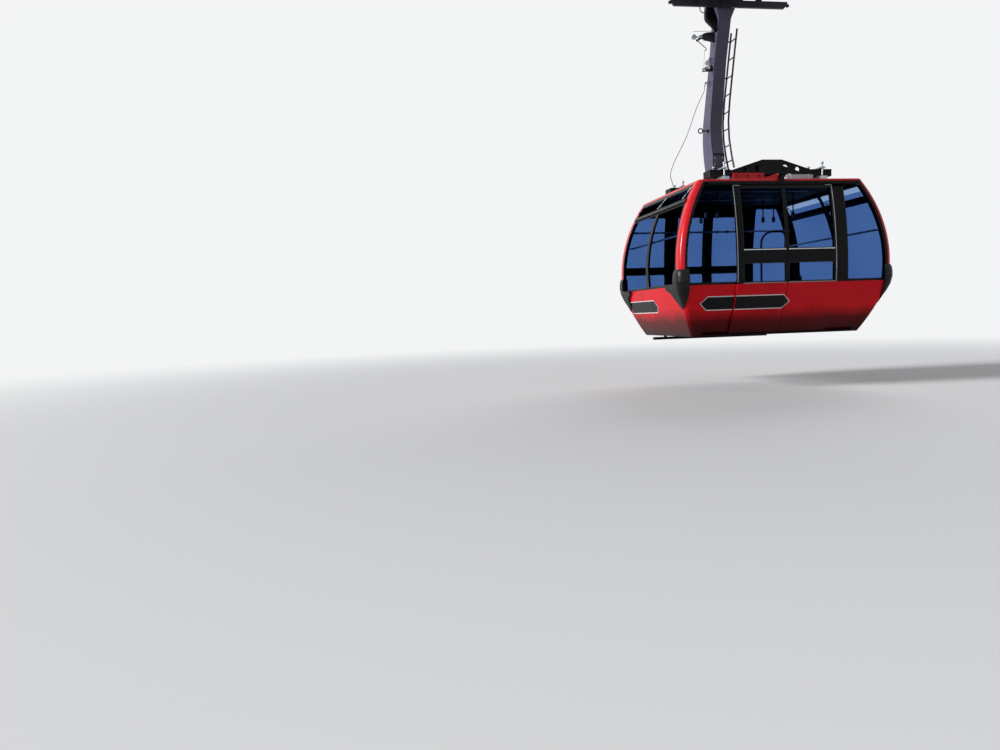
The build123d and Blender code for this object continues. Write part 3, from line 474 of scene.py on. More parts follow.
def rounded(half_a, half_b, radius, centre=(0.0, 0.0), steps=4):
    """Outline of a rectangle with round corners."""
    points = []
    for turn, (sa, sb) in enumerate([(1, 1), (-1, 1), (-1, -1), (1, -1)]):
        for i in range(steps + 1):
            angle = (turn + i / steps) * pi / 2
            a = centre[0] + sa * (half_a - radius) + radius * cos(angle)
            b = centre[1] + sb * (half_b - radius) + radius * sin(angle)
            points.append((a, b))
    return points


def round_curve(name, points, radius, steps, sides, kind="NURBS"):
    """Round rod, hose or cable along points as a curve, smooth for NURBS and straight for POLY."""
    curve = bpy.data.curves.new(name, "CURVE")
    curve.dimensions = "3D"
    spline = curve.splines.new(kind)
    spline.points.add(len(points) - 1)
    for point, place in zip(spline.points, points):
        point.co = (*place, 1.0)
    if kind == "NURBS":
        spline.order_u = 3
        spline.use_endpoint_u = True
    curve.bevel_depth = radius
    curve.bevel_resolution = sides
    curve.use_fill_caps = True
    curve.resolution_u = steps
    return add_object(name, curve)


def piped(points, radius, kind="NURBS"):
    """Round rod or hose along points as a mesh."""
    pick(round_curve("pipe", points, radius, 6, 2, kind))
    bpy.ops.object.convert(target="MESH")
    return ease(bpy.context.object)


# Points of a CAD mesh nearer than this are one
MERGE_GAP = 0.0001


def skin(node, keep):
    """Merged copy of the faces of a CAD node that pass a test of centre and normal."""
    obj = add_object("skin", CAD[node].data.copy())
    open_mesh(obj)
    bpy.ops.mesh.remove_doubles(threshold=MERGE_GAP)
    bpy.ops.mesh.select_all(action="DESELECT")
    bpy.ops.object.mode_set(mode="OBJECT")
    for face in obj.data.polygons:
        face.select = not keep(face.center, face.normal)
    bpy.ops.object.mode_set(mode="EDIT")
    bpy.ops.mesh.delete(type="FACE")
    return close_mesh(outside=False)


def joined(pieces):
    """One object of several."""
    pick(*pieces)
    bpy.ops.object.join()
    return bpy.context.object


def repeated(obj, places):
    """Copies of a piece, one for each matrix, as one object; a mirrored copy is turned right side out."""
    twins = []
    for place in places:
        mesh = obj.data.copy()
        mesh.transform(place)
        if place.determinant() < 0:
            mesh.flip_normals()
        twins.append(add_object("twin", mesh))
    bpy.data.objects.remove(obj)
    return joined(twins)


def settle(obj, name, finish, body="cabin", places=None):
    """Ends a piece: it is repeated at its places, if it has any, and gets its name, finish and body."""
    if places:
        obj = repeated(obj, places)
    pick(obj)
    freeze()
    obj.name = name
    obj.data.name = name
    give(obj, finish)
    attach(obj, body)


def bolts(name, radius, tall, places, finish="zinc", body="cabin"):
    """Six-sided bolt heads on washers, each standing on its place."""
    head = turned((0, 0, 0), [(radius, 0.0), (radius, tall * 0.8), (radius * 0.8, tall)], sides=6)
    rim = [(radius * 1.5, -0.001), (radius * 1.5, tall * 0.25), (radius * 1.3, tall * 0.3)]
    settle(joined([head, turned((0, 0, 0), rim, sides=12)]), name, finish, body, places)


class GONDOLA_OT_finishes(bpy.types.Operator):
    """Make the paints, metals, glass and rubber and put them on the CAD pieces"""

    bl_idname = "gondola.finishes"
    bl_label = "Finishes"

    def execute(self, context):
        for key, (_, *look) in FINISHES.items():
            MATERIALS[key], nodes = finish_of(*look)
            if key in EXTRAS:
                EXTRAS[key](nodes)
        for key, nodes in NODE_FINISH.items():
            for node in nodes:
                give(CAD[node], key)
        return {"FINISHED"}


# Route of the slack cable: x, y and height of each point, in metres
CABLE_ROUTE = [
    (-0.240, 1.200, 5.1395), (-0.240, 1.200, 5.0597), (-0.306, 1.180, 4.9337), (-0.388, 1.153, 4.7993),
    (-0.462, 1.128, 4.6545), (-0.530, 1.106, 4.5054), (-0.594, 1.085, 4.3501), (-0.660, 1.063, 4.1968),
    (-0.732, 1.038, 4.0477), (-0.812, 1.011, 3.9050), (-0.896, 0.982, 3.7685), (-0.980, 0.953, 3.6341),
    (-1.058, 0.926, 3.4998), (-1.120, 0.904, 3.3612), (-1.148, 0.895, 3.2394), (-1.118, 0.905, 3.1492),
    (-1.090, 0.914, 3.0988), (-1.090, 0.914, 3.0400),
]


class GONDOLA_OT_cable(bpy.types.Operator):
    """Hang the slack cable between the arm and the roof"""

    bl_idname = "gondola.cable"
    bl_label = "Slack cable"

    def execute(self, context):
        diameter = context.scene.gondola.cable_diameter
        route = raised(CABLE_ROUTE)
        cable = round_curve("slack_cord", route, diameter / 2, 8, 3)
        give(cable, "rubber")
        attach(cable, "cabin")
        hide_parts("slack_cable")
        return {"FINISHED"}


def near_side(centre, normal):
    """Test for the faces that look to the near side."""
    return normal.y < -0.5


def far_side(centre, normal):
    """Test for the faces that look to the far side."""
    return normal.y > 0.5


def end_side(centre, normal):
    """Test for the faces that look outwards at either end."""
    return normal.x * centre.x > 0.5


def inner_side(centre, normal):
    """Test for the upright faces that look into the cabin."""
    return normal.x * centre.x + normal.y * centre.y < -0.4 and abs(normal.z) < 0.6


# Half sizes of the roof just inside its edge
INSIDE_ROOF = (1.52, 1.42)


def roof_edge(centre, normal):
    """Test for the upright faces round the roof's edge."""
    reach = max(abs(centre.x) / INSIDE_ROOF[0], abs(centre.y) / INSIDE_ROOF[1])
    outward = normal.x * centre.x > 0 or normal.y * centre.y > 0
    return abs(normal.z) < 0.4 and outward and reach > 1


# Glazing that gets a seal: node, its outer side and its body
GLAZED = [
    ("near_glass", near_side, "cabin"),
    ("far_glass", far_side, "cabin"),
    ("end_glass", end_side, "cabin"),
    ("door_glass_left", near_side, "door_left"),
    ("door_glass_right", near_side, "door_right"),
]


def leaf_line(x, low, high, out, steps=8):
    """Points up the outer face of the door leaves at one x."""
    return [(x, -wall_at(WIDE, h) - LEAF_FACE - out, up(h)) for h in heights(low, high, steps)]


class GONDOLA_OT_seals(bpy.types.Operator):
    """Fit the rubber seals round the panes, between the door leaves and under the roof"""

    bl_idname = "gondola.seals"
    bl_label = "Seals"

    def execute(self, context):
        looks = context.scene.gondola
        for node, side, body in GLAZED:
            seal = skin(node, side)
            open_mesh(seal)
            bpy.ops.mesh.inset(thickness=looks.seal_width, depth=0.0, use_boundary=True)
            bpy.ops.mesh.delete(type="FACE")
            close_mesh(outside=False)
            settle(thickened(seal, looks.seal_height), f"{node}_seal", "rubber", body)
        for x, body in ((-0.0424, "door_left"), (-0.0376, "door_right")):
            seal = swept(leaf_line(x, 0.06, 2.62, -0.021, 16), 0.0036, 0.034, soft=0.001)
            settle(seal, f"{body}_meeting_seal", "rubber", body)
        roof = skin("cabin_roof", roof_edge)
        open_mesh(roof)
        cut((0, 0, up(2.709)), (0, 0, 1))
        close_mesh(outside=False)
        settle(thickened(roof, 0.004), "roof_seal", "rubber")
        return {"FINISHED"}


# Walls that are lined on the inside: node, its body and the thickness of the lining
LINED = [
    ("corner_pillars", "cabin", 0.003),
    ("far_lower_panel", "cabin", 0.003),
    ("end_lower_panels", "cabin", 0.003),
    ("near_lower_panels", "cabin", 0.003),
    ("door_panel_left", "door_left", 0.001),
    ("door_panel_right", "door_right", 0.001),
]


class GONDOLA_OT_linings(bpy.types.Operator):
    """Line the inside of the pillars, lower walls and ceiling, with lamps in the ceiling"""

    bl_idname = "gondola.linings"
    bl_label = "Linings"

    def execute(self, context):
        for node, body, thickness in LINED:
            settle(thickened(skin(node, inner_side), thickness), f"{node}_lining", "lining", body)
        ceiling = slab(rounded(1.49, 1.395, 0.06), up(CEILING), up(2.712), "Z", 0.004)
        settle(ceiling, "ceiling_panel", "lining")
        sunk = up(CEILING + 0.0005)
        lamp = block((-1.05, 0.47, up(2.680)), (1.05, 0.57, sunk), 0.005)
        settle(lamp, "ceiling_lamps", "lamp", places=[KEEP, MIRROR_Y])
        starts = [-0.28 + 0.045 * i for i in range(13)]
        slats = [block((x, -0.16, up(2.684)), (x + 0.03, 0.16, sunk), 0.002) for x in starts]
        settle(joined(slats), "ceiling_grille", "black")
        return {"FINISHED"}


# Door leaves: body, limits, outer side and limits of the glass
LEAVES = [
    ("door_left", DOOR_LEFT, -1, (DOOR_LEFT[0] + 0.11, DOOR_LEFT[1] - 0.012)),
    ("door_right", DOOR_RIGHT, 1, (DOOR_RIGHT[0] + 0.012, DOOR_RIGHT[1] - 0.025)),
]

# Heights of the trim on the leaves
EDGING_TOP = 2.625
SILL_LINE = 0.916
BAND_RAIL = 1.494


def across_leaf(x0, x1, height, tall, depth, out):
    """Bar along the outer face of the door leaves."""
    y = -wall_at(WIDE, height) - LEAF_FACE - out
    return swept([(x0, y, up(height)), (x1, y, up(height))], tall, depth, "X", 0.0015)


class GONDOLA_OT_door_trim(bpy.types.Operator):
    """Put the pale edging, sill line and band rail on both door leaves"""

    bl_idname = "gondola.door_trim"
    bl_label = "Door edging"

    def execute(self, context):
        width = context.scene.gondola.edging_width
        proud = 0.0015
        for body, (low, high), outer, (glass_low, glass_high) in LEAVES:
            edge = (low if outer < 0 else high) - outer * width / 2
            start, end = sorted((edge, edge - outer * 0.12))
            pieces = [
                swept(leaf_line(edge, 0.93, EDGING_TOP, proud), width, 0.006, soft=0.0015),
                across_leaf(start, end, EDGING_TOP, 0.010, 0.006, proud),
                across_leaf(glass_low, high if outer > 0 else glass_high, SILL_LINE, 0.010, 0.006, proud),
            ]
            settle(joined(pieces), f"{body}_edging", "alloy", body)
            rail = across_leaf(glass_low + 0.01, glass_high - 0.01, BAND_RAIL, 0.016, 0.008, 0.002)
            face = -wall_at(WIDE, BAND_RAIL) - LEAF_FACE
            foot = [(0.012, -0.001), (0.012, 0.004), (0.008, 0.0052)]
            feet = [turned((x, face, up(BAND_RAIL)), foot, (0, -1, 0), 12)
                    for x in (glass_low + 0.03, (glass_low + glass_high) / 2, glass_high - 0.03)]
            settle(joined([rail, *feet]), f"{body}_band_rail", "tube", body)
        return {"FINISHED"}


# Six-sided signs: half length to the points and to the shoulders, half height, thickness and gap under the film, and
# where a sheet waits before it is pressed on
SIGN_POINT = 0.833
SIGN_SHOULDER = 0.70
SIGN_HALF = 0.124
FILM_THICKNESS = 0.0008
FILM_GAP = 0.0012
SHEET_AWAY = -2.3


def sign_sheet(x, height, border, turn):
    """Flat six-sided sheet with pointed ends, seen from -Y before it is turned, with its border in slot 1."""
    clear()
    bpy.ops.mesh.primitive_grid_add(x_subdivisions=80, y_subdivisions=14, size=1, rotation=(pi / 2, 0, 0))
    obj = bpy.context.object
    obj.scale = (2 * SIGN_POINT, 2 * SIGN_HALF, 1)
    obj.location = (x, SHEET_AWAY, up(height))
    open_mesh(freeze())
    for sx in (-1, 1):
        for sz in (-1, 1):
            tip = (x + sx * SIGN_POINT, SHEET_AWAY, up(height))
            cut(tip, (sx * SIGN_HALF, 0, sz * (SIGN_POINT - SIGN_SHOULDER)))
    bpy.ops.mesh.select_all(action="SELECT")
    bpy.ops.mesh.inset(thickness=border, depth=0.0, use_boundary=True)
    close_mesh(outside=False)
    give(obj, "film", "border")
    for face in obj.data.polygons:
        face.material_index = 0 if face.select else 1
    obj.data.transform(turn)
    return obj


def sign_part(sheet, axis, target, low, high, name, body="cabin"):
    """The stretch of a sheet between two limits along X (0) or Y (1), pressed onto its panel."""
    obj = add_object(name, sheet.data.copy())
    open_mesh(obj)
    along = Vector((1, 0, 0) if axis == 0 else (0, 1, 0))
    for limit, way in ((low, -1), (high, 1)):
        if limit is not None:
            cut(along * limit, along * way)
    close_mesh(outside=False)
    apply_modifier(obj, "SHRINKWRAP", target=CAD[target], wrap_method="PROJECT", cull_face="BACK", offset=FILM_GAP,
                   use_project_x=axis == 1, use_project_y=axis == 0,
                   use_negative_direction=True, use_positive_direction=True)
    apply_modifier(obj, "SOLIDIFY", thickness=FILM_THICKNESS, offset=1.0)
    settle(obj, name, "film", body)


# Signs: middle along the wall and height, turn, axis that they run along, and their parts: panel, limits, name, body
SIDE_SIGN = (-0.776, 0.585)
END_SIGN = (-0.589, 0.575)
SIGNS = [
    (SIDE_SIGN, KEEP, 0, [
        ("near_lower_panels", None, DOOR_LEFT[0] - 0.006, "near_sign_wall"),
        ("door_panel_left", DOOR_LEFT[0] + 0.002, DOOR_LEFT[1] - 0.002, "near_sign_left_leaf", "door_left"),
        ("door_panel_right", DOOR_RIGHT[0] + 0.002, None, "near_sign_right_leaf", "door_right"),
    ]),
    (SIDE_SIGN, HALF_TURN, 0, [("far_lower_panel", None, None, "far_sign")]),
    (END_SIGN, Matrix.Rotation(-pi / 2, 4, "Z"), 1, [("end_lower_panels", None, 1.30, "left_sign")]),
    (END_SIGN, Matrix.Rotation(pi / 2, 4, "Z"), 1, [("end_lower_panels", -1.30, None, "right_sign")]),
]


class GONDOLA_OT_signs(bpy.types.Operator):
    """Press the blank six-sided signs onto the lower panels"""

    bl_idname = "gondola.signs"
    bl_label = "Blank signs"

    def execute(self, context):
        for (x, height), turn, axis, parts in SIGNS:
            sheet = sign_sheet(x, height, context.scene.gondola.sign_border, turn)
            for part in parts:
                sign_part(sheet, axis, *part)
            bpy.data.objects.remove(sheet)
        return {"FINISHED"}


# Height of the rivets under the windows
RIVET_LINE = 0.875


class GONDOLA_OT_end_trim(bpy.types.Operator):
    """Fit the vent stays, panel seams and rivets on both ends"""

    bl_idname = "gondola.end_trim"
    bl_label = "End trim"

    def execute(self, context):
        stays = []
        for y0, y1 in ((-0.13, 0.13), (-1.30, -1.12)):
            x0, x1 = (-wall_at(LONG, h) - 0.014 for h in (2.632, 2.47))
            stays.append(swept(raised([(x0, y0, 2.632), (x1, y1, 2.462)]), 0.010, 0.034))
        settle(joined(stays), "vent_stays", "border", places=[KEEP, HALF_TURN])
        line = [(-(wall_at(LONG, h) + 0.0006), 0.45, up(h)) for h in heights(0.02, 0.89, 10)]
        settle(swept(line, 0.0024, 0.007, soft=0.0), "end_panel_seams", "rubber", places=[KEEP, HALF_TURN])

        rivet = turned((0, 0, 0), [(0.007, -0.001), (0.007, 0.001), (0.004, 0.003)], sides=8)
        side, end, z = wall_at(WIDE, RIVET_LINE), wall_at(LONG, RIVET_LINE), up(RIVET_LINE)
        places = []
        for x in [-1.5 + 0.25 * i for i in range(13)]:
            if not -1.05 < x < 0.97:
                places.append(at(x, -side, z) @ TO_NEAR)
            places.append(at(x, side, z) @ TO_FAR)
        for y in [-1.0 + 0.25 * i for i in range(9)]:
            places += [at(-end, y, z) @ TO_LEFT, at(end, y, z) @ TO_RIGHT]
        settle(rivet, "panel_rivets", "red", places=places)
        return {"FINISHED"}


# Roof mounts in the far right quarter: middle, top of the plate, and the rods on either side
MOUNT_X = 0.95
MOUNT_Y = 0.94
PLATE_TOP = 2.762
ROD_Y = (0.715, 1.165)


class GONDOLA_OT_roof(bpy.types.Operator):
    """Fit the hatch, pads, bolts, flanges and ducts of the roof and its frame"""

    bl_idname = "gondola.roof"
    bl_label = "Roof fittings"

    def execute(self, context):
        plate = slab(rounded(0.10, 0.30, 0.03, (MOUNT_X, MOUNT_Y)), up(ROOF_TOP), up(PLATE_TOP), "Z")
        settle(plate, "mount_plates", "zinc", places=CORNERS)
        places = cornered([at(x, y, up(PLATE_TOP)) for x in (0.865, 1.035) for y in (0.68, MOUNT_Y, 1.20)])
        bolts("mount_plate_bolts", 0.013, 0.012, places, "steel")
        bolts("rod_nuts", 0.026, 0.024, cornered([at(MOUNT_X, y, up(3.0073)) for y in ROD_Y]))
        steps = raised([(0.042, 2.8455), (0.050, 2.8475), (0.050, 2.857), (0.042, 2.8595)])
        collar = turned((MOUNT_X, 0, 0), steps, sides=20)
        settle(collar, "mount_buffers", "rubber", places=cornered([at(0, y, 0) for y in ROD_Y]))

        # Each arch has two plates 0.28 m apart, with flanges on their upper edges and spacers between them
        top = [(-1.18, 2.968), (-0.78, 2.968), (-0.19, 3.153), (0.19, 3.153), (0.78, 2.968), (1.18, 2.968)]
        flange = swept([(x, 1.08, up(h)) for x, h in top], 0.006, 0.056, "X", 0.001)
        settle(flange, "arch_flanges", "frame", places=mirrored([KEEP, at(0, -0.28, 0)], MIRROR_Y))
        spacers = [turned((x, 0.79, up(h)), [(0.022, 0.021), (0.022, 0.279)], (0, 1, 0))
                   for x, h in ((0.64, 2.952), (0.385, 2.965))]
        settle(joined(spacers), "arch_spacers", "frame", places=CORNERS)
        spots = raised([(0.64, 2.952), (0.385, 2.965), (0.83, 2.932), (1.05, 2.932), (1.14, 2.932)])
        bolts("arch_bolts", 0.011, 0.009, cornered([at(x, 1.0905, z) @ TO_FAR for x, z in spots]), "frame")

        settle(slab(rounded(0.34, 0.30, 0.05), up(FAIRING_TOP), up(2.873), "Z", 0.004), "roof_hatch", "red")
        sides = (-0.16, 0.16)
        pins = [turned((-0.36, y - 0.04, up(2.868)), [(0.009, 0.0), (0.009, 0.08)], (0, 1, 0), 12) for y in sides]
        leaves = [block((-0.40, y - 0.03, up(FAIRING_TOP)), (-0.32, y + 0.03, up(2.863)), 0.002) for y in sides]
        latches = [block((0.30, y - 0.02, up(2.8735)), (0.39, y + 0.02, up(2.882)), 0.003) for y in sides]
        settle(joined(pins + leaves + latches), "roof_hatch_hinges", "zinc")
        pads = [slab(rounded(0.15, 0.52, 0.03, (1.25, y)), up(ROOF_TOP), up(2.7545), "Z", 0.001) for y in (-0.56, 0.56)]
        settle(joined(pads), "roof_grit_pads", "grit", places=[KEEP, MIRROR_X])

        # Beside the foot of the near arch: a drilled red panel that ends in a ramp, and a pale duct
        profile = raised([(-0.775, ROOF_TOP), (-0.775, 2.920), (-0.16, 2.915), (-0.16, 2.840), (-0.043, 2.861),
                          (0.093, 2.914), (0.132, 2.824), (0.132, ROOF_TOP)])
        settle(slab(profile, -1.125, -1.112), "roof_side_panel", "red")
        plug = turned((0, -1.125, up(2.862)), [(0.022, -0.001), (0.022, 0.0012), (0.015, 0.0018)], (0, -1, 0))
        settle(plug, "roof_side_plugs", "rubber", places=[at(x, 0, 0) for x in (-0.70, -0.48, -0.27)])
        duct = block((0.249, -1.17, up(ROOF_TOP)), (0.771, -1.112, up(2.878)), 0.012)
        ends = [block((x - 0.012, -1.175, up(ROOF_TOP)), (x + 0.012, -1.108, up(2.884))) for x in (0.34, 0.68)]
        settle(joined([duct, *ends]), "roof_duct", "alloy")
        return {"FINISHED"}


# The welded box of the arm: heights of its ends, its near face and its left side
ARM_RISE = (3.13, 6.34)
ARM_NEAR = 1.0898
ARM_LEFT = -0.1304


def arm_z(share):
    """Z of the frame at a share of the arm's rise."""
    return up(ARM_RISE[0] + share * (ARM_RISE[1] - ARM_RISE[0]))


class GONDOLA_OT_arm(bpy.types.Operator):
    """Fit the slot, cover, conduits, eye, hook and bolts of the hanger arm"""

    bl_idname = "gondola.arm"
    bl_label = "Arm fittings"

    def execute(self, context):
        slot = block((-0.118, 1.0875, up(3.700)), (0.118, ARM_NEAR, up(3.742)), 0.001)
        settle(slot, "arm_slot", "rubber")
        cover = slab(rounded(0.105, 0.085, 0.012, (0.0, up(3.575))), 1.0855, ARM_NEAR, soft=0.002)
        settle(cover, "arm_cover", "arm")
        places = [at(x, 1.0857, up(h)) @ TO_NEAR for x in (-0.088, 0.088) for h in (3.507, 3.643)]
        bolts("arm_cover_bolts", 0.008, 0.007, places, "steel")

        # Conduit and hose up the arm's right side, through (y, share of the arm's rise)
        line = [(1.17, 0.03), (1.20, 0.12), (1.31, 0.24), (1.36, 0.38), (1.30, 0.52), (1.18, 0.68), (1.05, 0.84),
                (0.97, 0.96)]
        conduit = piped([(0.146, y, arm_z(share)) for y, share in line], 0.009)
        hose = piped([(0.142, y + 0.045, arm_z(share)) for y, share in line], 0.006)
        settle(joined([conduit, hose]), "arm_conduits", "rubber")
        line = [(1.200, 0.12), (1.293, 0.24), (1.337, 0.38), (1.288, 0.52), (1.178, 0.68), (1.062, 0.84)]
        clips = [block((0.1302, y - 0.02, arm_z(share) - 0.012), (0.158, y + 0.06, arm_z(share) + 0.012), 0.003)
                 for y, share in line]
        settle(joined(clips), "arm_clips", "zinc")

        stem = turned((-0.13, 1.303, up(4.247)), [(0.040, 0.0), (0.040, 0.012), (0.014, 0.016), (0.014, 0.125)],
                      (-1, 0, 0))
        ring = ring_bar(0.048, (-0.30, 1.303, up(4.247)), (pi / 2, 0, 0))
        settle(ease(joined([stem, ring])), "arm_eye", "frame")

        edge = [(ARM_LEFT, 6.11), (-0.165, 6.15), (-0.209, 6.198), (-0.255, 6.24), (-0.30, 6.278), (-0.345, 6.32),
                (-0.368, 6.37), (-0.372, 6.45), (-0.366, 6.56), (-0.35, 6.63), (-0.2804, 6.76), (ARM_LEFT, 6.3405)]
        gusset = slab(raised(edge), 0.78, 0.90, soft=0.006)
        bend = [(-0.355, 0.84, 6.475), (-0.43, 0.84, 6.475), (-0.482, 0.84, 6.53), (-0.483, 0.84, 6.60),
                (-0.47, 0.84, 6.67)]
        settle(joined([gusset, piped(raised(bend), 0.009)]), "head_hook", "black")

        # Rescue bracket: a tapered plate, stay rods and small rollers round the solid one
        taper = [(ARM_LEFT, 5.93), (ARM_LEFT, 6.139), (-0.30, 6.128), (-0.401, 6.085), (-0.54, 5.955),
                 (-0.52, 5.935), (-0.42, 5.995), (-0.333, 5.962), (-0.168, 5.93)]
        plate = slab(raised(taper), 0.918, 0.930, soft=0.002)
        lower = [(ARM_LEFT, 5.39), (ARM_LEFT, 5.51), (-0.20, 5.52), (-0.36, 5.44), (-0.36, 5.38)]
        side_plate = slab(raised(lower), 1.045, 1.057, soft=0.002)
        settle(joined([plate, side_plate]), "bracket_plates", "carriage")
        strut = piped(raised([(-0.60, 0.95, 6.055), (-0.308, 0.95, 5.815)]), 0.011, "POLY")
        rod = piped(raised([(-0.592, 0.95, 6.15), (ARM_LEFT, 0.95, 6.165)]), 0.005, "POLY")
        hanger = piped(raised([(-0.336, 0.95, 5.79), (-0.333, 1.01, 5.60), (-0.33, 1.03, 5.44)]), 0.005)
        steps = [(0.008, -0.028), (0.022, -0.018), (0.027, 0.0), (0.022, 0.018), (0.008, 0.028)]
        ball = turned((-0.325, 0.95, up(5.80)), steps)
        steps = [(0.034, -0.022), (0.024, -0.010), (0.024, 0.010), (0.034, 0.022)]
        spots = raised([(-0.33, 1.03, 5.41), (-0.23, 1.03, 5.46), (-0.45, 0.905, 6.03)])
        rollers = [turned(spot, steps, (0, 1, 0), 20) for spot in spots]
        settle(joined([strut, rod, hanger, ball, *rollers]), "bracket_fittings", "zinc")
        spots = [at(-0.1302, y, up(h)) @ TO_LEFT for y in (1.13, 1.20) for h in (2.97, 3.03, 3.09)]
        bolts("arm_foot_bolts", 0.016, 0.014, [turn @ spot for turn in (KEEP, MIRROR_X) for spot in spots])
        return {"FINISHED"}


# Carriage, in the frame's own Z: wheels, rocker pins, the hanger's pivot and the top of the cross beam
AXLE_Z = 0.218
GAUGE_HALF = 0.4
WHEEL_X = (-0.83, -0.41, 0.41, 0.83)
ROCKER_X = 0.62
PIVOT_Z = 0.28
PIVOT_FACE = 0.9002
BEAM_TOP = 0.3902


def pivot_ring(radius, y, step, count):
    """Places that face the far side on a circle round the hanger's pivot, at counts of a step from its top."""
    return [at(radius * sin(k * step), y, PIVOT_Z + radius * cos(k * step)) @ TO_FAR for k in count]


class GONDOLA_OT_carriage(bpy.types.Operator):
    """Fit the bolts, caps, buffers, springs and hoses of the carriage and grip"""

    bl_idname = "gondola.carriage"
    bl_label = "Carriage fittings"

    def execute(self, context):
        sixth = pi / 3
        studs = [Matrix.Rotation(k * sixth, 4, "Y") @ at(0, 0.028, 0.083) @ TO_FAR for k in range(6)]
        spokes = [Matrix.Rotation((k + 0.5) * sixth, 4, "Y") for k in range(6)]
        for side, sy in (("near", -1), ("far", 1)):
            for i, x in enumerate(WHEEL_X, 1):
                wheel = f"wheel_{side}_{i}"
                hub = at(x, sy * GAUGE_HALF, AXLE_Z)
                places = [hub @ place for place in mirrored(studs, MIRROR_Y)]
                bolts(f"{wheel}_studs", 0.009, 0.008, places, body=wheel)
                rib = block((-0.006, 0.027, 0.058), (0.006, 0.040, 0.105), 0.002)
                places = [hub @ place for place in mirrored(spokes, MIRROR_Y)]
                settle(rib, f"{wheel}_ribs", "wheel", wheel, places)
        cap = turned((0, 0, 0), [(0.040, 0.0), (0.040, 0.006), (0.030, 0.012), (0.012, 0.014)], (0, 1, 0), 24)
        places = [at(x, sy * GAUGE_HALF, AXLE_Z) @ turn @ at(0, 0.0925, 0)
                  for x in WHEEL_X for sy in (-1, 1) for turn in (KEEP, MIRROR_Y)]
        settle(cap, "axle_caps", "zinc", "carriage", places)
        cap = turned((0, 0.535, AXLE_Z), [(0.052, 0.0), (0.052, 0.010), (0.040, 0.016), (0.018, 0.018)], (0, 1, 0), 24)
        settle(cap, "rocker_pin_caps", "zinc", "carriage", cornered([at(ROCKER_X, 0, 0)]))

        spots = [(x, -0.092) for x in (0.24, 0.40, 0.56, 0.72, 0.88, 1.04, 1.16)]
        spots += [(x, -0.155) for x in (0.24, 0.72, 1.04)]
        places = cornered([at(x, 0.5502, z) @ TO_FAR for x, z in spots])
        bolts("side_beam_bolts", 0.013, 0.011, places, body="carriage")
        gusset = slab([(0.30, -0.059), (0.152, -0.059), (0.152, 0.12), (0.175, 0.12)], 0.512, 0.528, soft=0.002)
        settle(gusset, "carriage_gussets", "carriage", "carriage", CORNERS)
        steps = [(0.034, 0.0), (0.034, 0.010), (0.026, 0.014), (0.032, 0.030), (0.022, 0.045)]
        buffer = turned((1.2252, 0.52, -0.125), steps, (1, 0, 0), 20)
        settle(buffer, "beam_buffers", "rubber", "carriage", CORNERS)

        lid = slab(rounded(0.13, 0.24, 0.03), 0.3903, 0.402, "Z")
        settle(lid, "cross_beam_lid", "carriage", "carriage")
        places = cornered([at(x, y, 0.402) for x, y in ((0.11, 0.215), (0.11, 0.07), (0.04, 0.215))])
        bolts("cross_beam_bolts", 0.010, 0.009, places, body="carriage")
        foot = turned((0, 0.40, BEAM_TOP), [(0.045, 0.0), (0.045, 0.01), (0.016, 0.014)], sides=20)
        eye = ease(joined([foot, ring_bar(0.045, (0, 0.40, 0.430), (0, pi / 2, 0))]))
        settle(eye, "lifting_eyes", "zinc", "carriage", [KEEP, MIRROR_Y])

        # Grip: stacks of disc springs with their nuts, the lever with its roller, and two hoses
        discs = []
        for k in range(12):
            discs += [(0.026, 0.011 * k), (0.034, 0.011 * k + 0.0045), (0.034, 0.011 * k + 0.0065)]
        base = (0.055, -0.1105, 0.105)
        settle(turned(base, discs, (0, -1, 0), 20), "grip_springs", "steel", "carriage", [KEEP, MIRROR_X])
        nut = turned(base, [(0.020, 0.132), (0.020, 0.156), (0.011, 0.157), (0.011, 0.185)], (0, -1, 0), 6)
        settle(nut, "grip_spring_nuts", "zinc", "carriage", [KEEP, MIRROR_X])
        outline = [(-0.09, 0.090), (0.09, 0.090), (0.12, 0.155), (0.05, 0.168), (-0.05, 0.168), (-0.12, 0.155)]
        lever = slab(outline, 0.0855, 0.103, soft=0.004)
        steps = [(0.012, 0.0), (0.012, 0.012), (0.036, 0.013), (0.038, 0.016), (0.038, 0.042), (0.034, 0.046)]
        roller = turned((0, 0.103, 0.125), steps, (0, 1, 0), 24)
        settle(joined([lever, roller]), "grip_lever", "iron", "carriage")
        hose = piped([(0.10, 0.30, 0.252), (0.10, 0.30, 0.30), (0.155, 0.29, 0.33), (0.162, 0.20, 0.31),
                      (0.162, 0.12, 0.24), (0.131, 0.06, 0.13)], 0.008)
        settle(hose, "grip_hoses", "rubber", "carriage", [KEEP, at(0, 0.03, 0.012)])

        bolts("pivot_cap_bolts", 0.010, 0.009, pivot_ring(0.066, 0.9262, sixth, range(6)), body="carriage")
        steps = [(0.145, 0.0), (0.145, 0.0012), (0.118, 0.0026), (0.100, 0.0028)]
        settle(turned((0, PIVOT_FACE, PIVOT_Z), steps, (0, 1, 0), 36), "pivot_seal", "steel")
        bolts("head_bolts", 0.010, 0.009, pivot_ring(0.22, PIVOT_FACE, pi / 5, range(-3, 4)))
        return {"FINISHED"}


# Places of the seats along an end wall, of the hand straps and of the handrail's stands
SEAT_ROW = [-0.94 + 0.47 * i for i in range(5)]
STRAP_X = (-0.90, -0.67, 0.667, 0.897)
STAND_X = (-1.70, -0.88, 0.106, 0.33, 0.88, 1.70)


